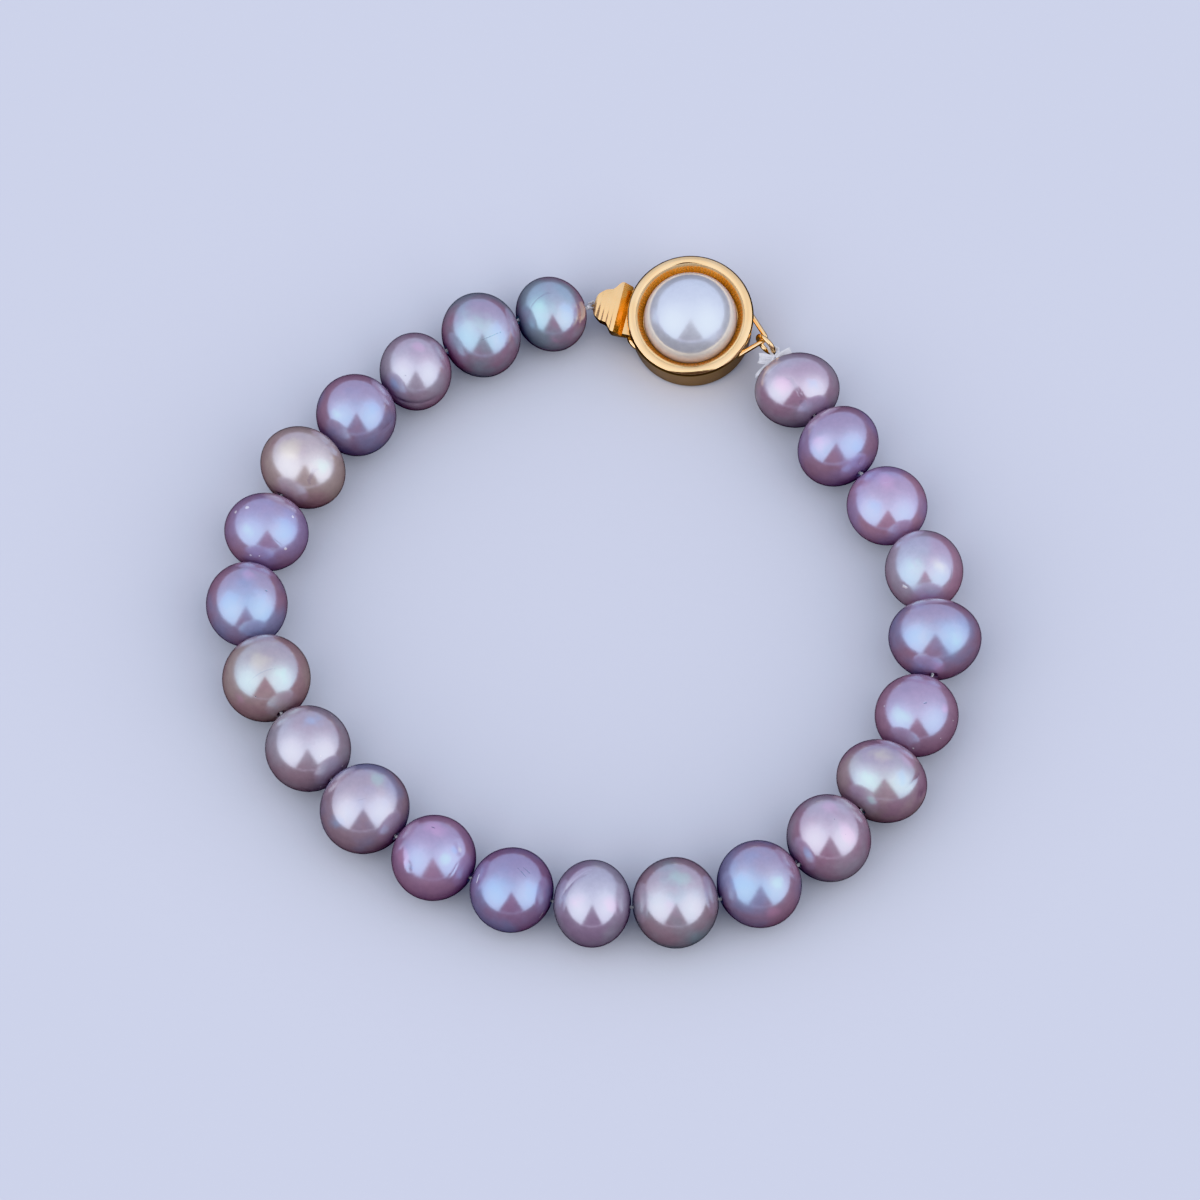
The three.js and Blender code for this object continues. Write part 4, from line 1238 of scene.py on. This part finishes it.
def make_tongue(gold):
    lower = -LEAF_BELOW_AXIS
    upper = lower + 2 * LEAF_THICKNESS + LEAF_SPREAD
    fold_end = -box_radius + LEAF_DEPTH
    fold_middle = lower + LEAF_THICKNESS
    in_thumb = -thumb_back - THUMB_LAP
    in_box = -box_radius + BOX_WALL
    strip = prism(
        [
            (in_thumb, 0, lower),
            (fold_end - LEAF_THICKNESS, 0, lower),
            (fold_end, 0, fold_middle),
            (fold_end - LEAF_THICKNESS, 0, fold_middle + FOLD_GAP + LEAF_THICKNESS),
            (in_box, 0, upper),
            (in_thumb, 0, upper),
            (in_thumb, 0, upper - LEAF_THICKNESS),
            (in_box, 0, upper - LEAF_THICKNESS),
            (fold_end - FOLD_LENGTH, 0, fold_middle + FOLD_GAP / 2),
            (in_thumb, 0, fold_middle),
        ],
        Vector((0, TONGUE_WIDTH, 0)),
    )
    fluted = prism(thumb_profile(upper), Vector((0, THUMB_WIDTH, 0)))
    outline = prism(thumb_outline(1), Vector((0, 0, 2 * box_radius)))
    thumb = rounded(combined(fluted, outline, "INTERSECT"), EDGE_BEVEL)
    leaf = prism(thumb_outline(LOWER_LEAF_SHARE), Vector((0, 0, LEAF_THICKNESS)))
    bmesh.ops.translate(leaf, vec=(0, 0, lower + LEAF_THICKNESS / 2), verts=leaf.verts)
    leaf = rounded(leaf, EDGE_BEVEL)
    ring = (EYE_HOLE + EYE_WIRE) / 2
    middle = eye_centre()
    around = [middle + Vector((math.cos(a), 0, math.sin(a))) * ring for a in circle(EYE_STEPS)]
    eye = tube(around, EYE_WIRE, closed=True, fineness=4)
    shape = joined(strip, thumb, leaf)
    aside = clasp @ Matrix.Translation((0, TONGUE_OFFSET, 0))
    piece = add_piece(joined(shape, eye), "sprung_tongue", gold, aside, smooth_angle=30)
    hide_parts("clasp_tongue")


def circle(steps):
    return [math.tau * i / steps for i in range(steps)]


def eye_centre():
    ring = (EYE_HOLE + EYE_WIRE) / 2
    x = -thumb_tip - EYE_OVERHANG + ring + EYE_WIRE / 2
    return Vector((x, 0, LEAF_THICKNESS - LEAF_BELOW_AXIS + ring - EYE_WIRE / 2))


def ring_heading():
    along = clasp.to_3x3() @ Vector((1, 0, 0))
    yaw = math.atan2(along.y, along.x) + math.radians(RING_TURN)
    return Vector((math.cos(yaw), math.sin(yaw), 0))


def ring_centre():
    low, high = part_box("jump_ring")
    return (low + high) / 2 / MM


def make_ring(gold):
    heading = ring_heading()
    middle = (RING_HOLE + RING_WIRE) / 2
    half_split = RING_SPLIT / middle / 2
    points = []
    for i in range(RING_STEPS + 1):
        angle = math.radians(RING_SPLIT_AT) + half_split + (math.tau - 2 * half_split) * i / RING_STEPS
        outward = heading * math.cos(angle) + Vector((0, 0, math.sin(angle)))
        points.append(ring_centre() + outward * middle)
    piece = add_piece(tube(points, RING_WIRE, fineness=5), "split_ring", gold)
    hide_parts("jump_ring")


# Silk


def frames_along(points):
    """A pair of directions square to the line at each point, which turn as little as they can."""
    frames = []
    side = None
    for i, point in enumerate(points):
        ahead = (points[min(i + 1, len(points) - 1)] - points[max(i - 1, 0)]).normalized()
        if side is None:
            side = ahead.orthogonal()
        side = (side - ahead * side.dot(ahead)).normalized()
        frames.append((side, ahead.cross(side)))
    return frames


def twisted(points, diameter):
    """Plies that wind round each other along points."""
    ply = diameter * PLY_SHARE
    away = (diameter - ply) / 2
    plies = []
    frames = frames_along(points)
    for number in range(SILK_PLIES):
        travelled = 0
        line = []
        for i, point in enumerate(points):
            if i:
                travelled += (point - points[i - 1]).length
            angle = math.tau * (travelled / SILK_TWIST + number / SILK_PLIES)
            side, other = frames[i]
            line.append(point + (side * math.cos(angle) + other * math.sin(angle)) * away)
        plies.append(tube(line, ply, fineness=2))
    return joined(*plies)


def evenly(points, step):
    """Points at even steps along a line."""
    lengths = [0]
    for a, b in zip(points, points[1:]):
        lengths.append(lengths[-1] + (b - a).length)
    count = max(2, round(lengths[-1] / step))
    line = []
    k = 0
    for i in range(count + 1):
        target = lengths[-1] * i / count
        while k < len(points) - 2 and lengths[k + 1] < target:
            k += 1
        share = (target - lengths[k]) / max(lengths[k + 1] - lengths[k], 1e-9)
        line.append(points[k].lerp(points[k + 1], share))
    return line


def thread_loop(knot, wire, wire_diameter, out, through):
    """From the knot through a ring, round its outer wire and back to the knot."""
    reach = (wire_diameter + SILK_DIAMETER) / 2 + LOOP_GAP
    beyond = through * math.copysign(reach, (wire - knot).dot(through))
    inside = wire - out * reach
    outside = wire + out * reach
    apart = SILK_DIAMETER * LOOP_LEGS
    points = [
        knot - out * apart,
        inside - beyond * LOOP_CLOSES,
        inside + beyond * LOOP_TURNS,
        wire + beyond * LOOP_CROWN,
        outside + beyond * LOOP_TURNS,
        outside - beyond * LOOP_CLOSES,
        knot + out * apart,
    ]
    return twisted(evenly(smooth_line(points, 12), LOOP_STEP), SILK_DIAMETER)


def knot_shape(centre, diameter, axis):
    """A bulky knot: the silk laid in a trefoil about axis."""
    side, other = frames_along([centre, centre + axis])[0]
    scale = (diameter - SILK_DIAMETER) / 2
    points = []
    for a in circle(KNOT_STEPS):
        wave = 1 + KNOT_WAVE * math.cos(KNOT_TURNS * a)
        across = side * math.cos(2 * a) + other * math.sin(2 * a)
        along = axis * math.sin(KNOT_TURNS * a) * KNOT_RISE
        points.append(centre + (across * wave * KNOT_SPREAD + along) * scale)
    return twisted(points + points[:2], SILK_DIAMETER * KNOT_PLY)


def tail_shape(knot, tail, number):
    """Fibres side by side, which leave the knot together and splay towards their ends."""
    right, upward, towards = camera_axes()
    reach = right * tail.right + upward * tail.up + towards * tail.rise
    aside = reach.cross(towards).normalized()
    fibres = []
    for k in range(TAIL_FIBRES):
        spread = k / (TAIL_FIBRES - 1) - 0.5
        uneven = noise.noise(Vector((number * 7.3, k * 1.9, 0.5)))
        end = reach * (1 + TAIL_UNEVEN * uneven) + aside * spread * tail.broad
        lift = towards * TAIL_BEND * (0.5 + 0.5 * noise.noise(Vector((k * 1.3, number * 3.1, 2.5))))
        start = aside * spread * tail.broad * TAIL_START
        middle = (start + end) / 2 + aside * spread * tail.broad * TAIL_BELLY + lift
        line = smooth_line([knot + start, knot + middle, knot + end], 8)
        fibres.append(tube(line, TAIL_FIBRE, fineness=1))
    return joined(*fibres)


def mouth(number, centre, drill, side):
    pearl = PEARLS[number]
    turn = math.radians(pearl.turn)
    half = PEARL_SIZE / 2 * math.hypot(pearl.along * math.cos(turn), pearl.wide * math.sin(turn))
    return centre + drill * side * half, half


def make_thread(centres, drills):
    silk = silk_material()
    first_mouth, _ = mouth(0, centres[0], drills[0], -1)
    last_mouth, _ = mouth(-1, centres[-1], drills[-1], 1)
    tongue_knot = first_mouth - drills[0] * (TONGUE_KNOT / 2 + KNOT_GAP)
    ring_knot = last_mouth + drills[-1] * (RING_KNOT / 2 + KNOT_GAP)
    points = [tongue_knot]
    for number, (centre, drill) in enumerate(zip(centres, drills)):
        inset = mouth(number, centre, drill, 1)[1] - SILK_MOUTH_INSET
        points.append(centre - drill * inset)
        points.append(centre + drill * inset)
    points.append(ring_knot)
    string = twisted(evenly(smooth_line(points, 8), STRING_STEP), SILK_DIAMETER)

    turn = clasp.to_3x3()
    eye_out = turn @ Vector((-1, 0, 0))
    eye_through = turn @ Vector((0, 1, 0))
    eye_ring = (EYE_HOLE + EYE_WIRE) / 2
    eye_wire = clasp @ (eye_centre() + Vector((0, TONGUE_OFFSET, 0))) + eye_out * eye_ring
    heading = ring_heading()
    ring_wire = ring_centre() + heading * (RING_HOLE + RING_WIRE) / 2
    ring_through = Vector((0, 0, 1)).cross(heading)
    shape = joined(
        string,
        knot_shape(tongue_knot, TONGUE_KNOT, drills[0]),
        knot_shape(ring_knot, RING_KNOT, drills[-1]),
        thread_loop(tongue_knot, eye_wire, EYE_WIRE, eye_out, eye_through),
        thread_loop(ring_knot, ring_wire, RING_WIRE, heading, ring_through),
    )
    tails = [tail_shape(ring_knot, tail, number) for number, tail in enumerate(TAILS)]
    piece = add_piece(joined(shape, *tails), "silk_thread", silk)
    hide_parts("thread")


make_camera()
make_studio()
make_floor()
bpy.context.scene.view_settings.view_transform = "Khronos PBR Neutral"

nacre_group = make_nacre_group()
mark_group = make_mark_group()
gold_group = make_gold_group()

pearl_places = pearl_centres()
pearl_lines = pearl_drills(pearl_places)
for number, pearl in enumerate(PEARLS, start=1):
    make_pearl(number, pearl, pearl_places[number - 1], pearl_lines[number - 1])

clasp = clasp_place()
gold = gold_material("gold", BOX_GOLD)
make_box(gold)
make_seat(gold_material("seat_gold_painted_reflection", SEAT_GOLD_PAINTED_REFLECTION))
make_bail(gold)
make_tab(gold)
make_half_pearl()
make_tongue(gold_material("tongue_gold_painted_reflection", TONGUE_GOLD_PAINTED_REFLECTION))
make_ring(gold)
make_thread(pearl_places, pearl_lines)
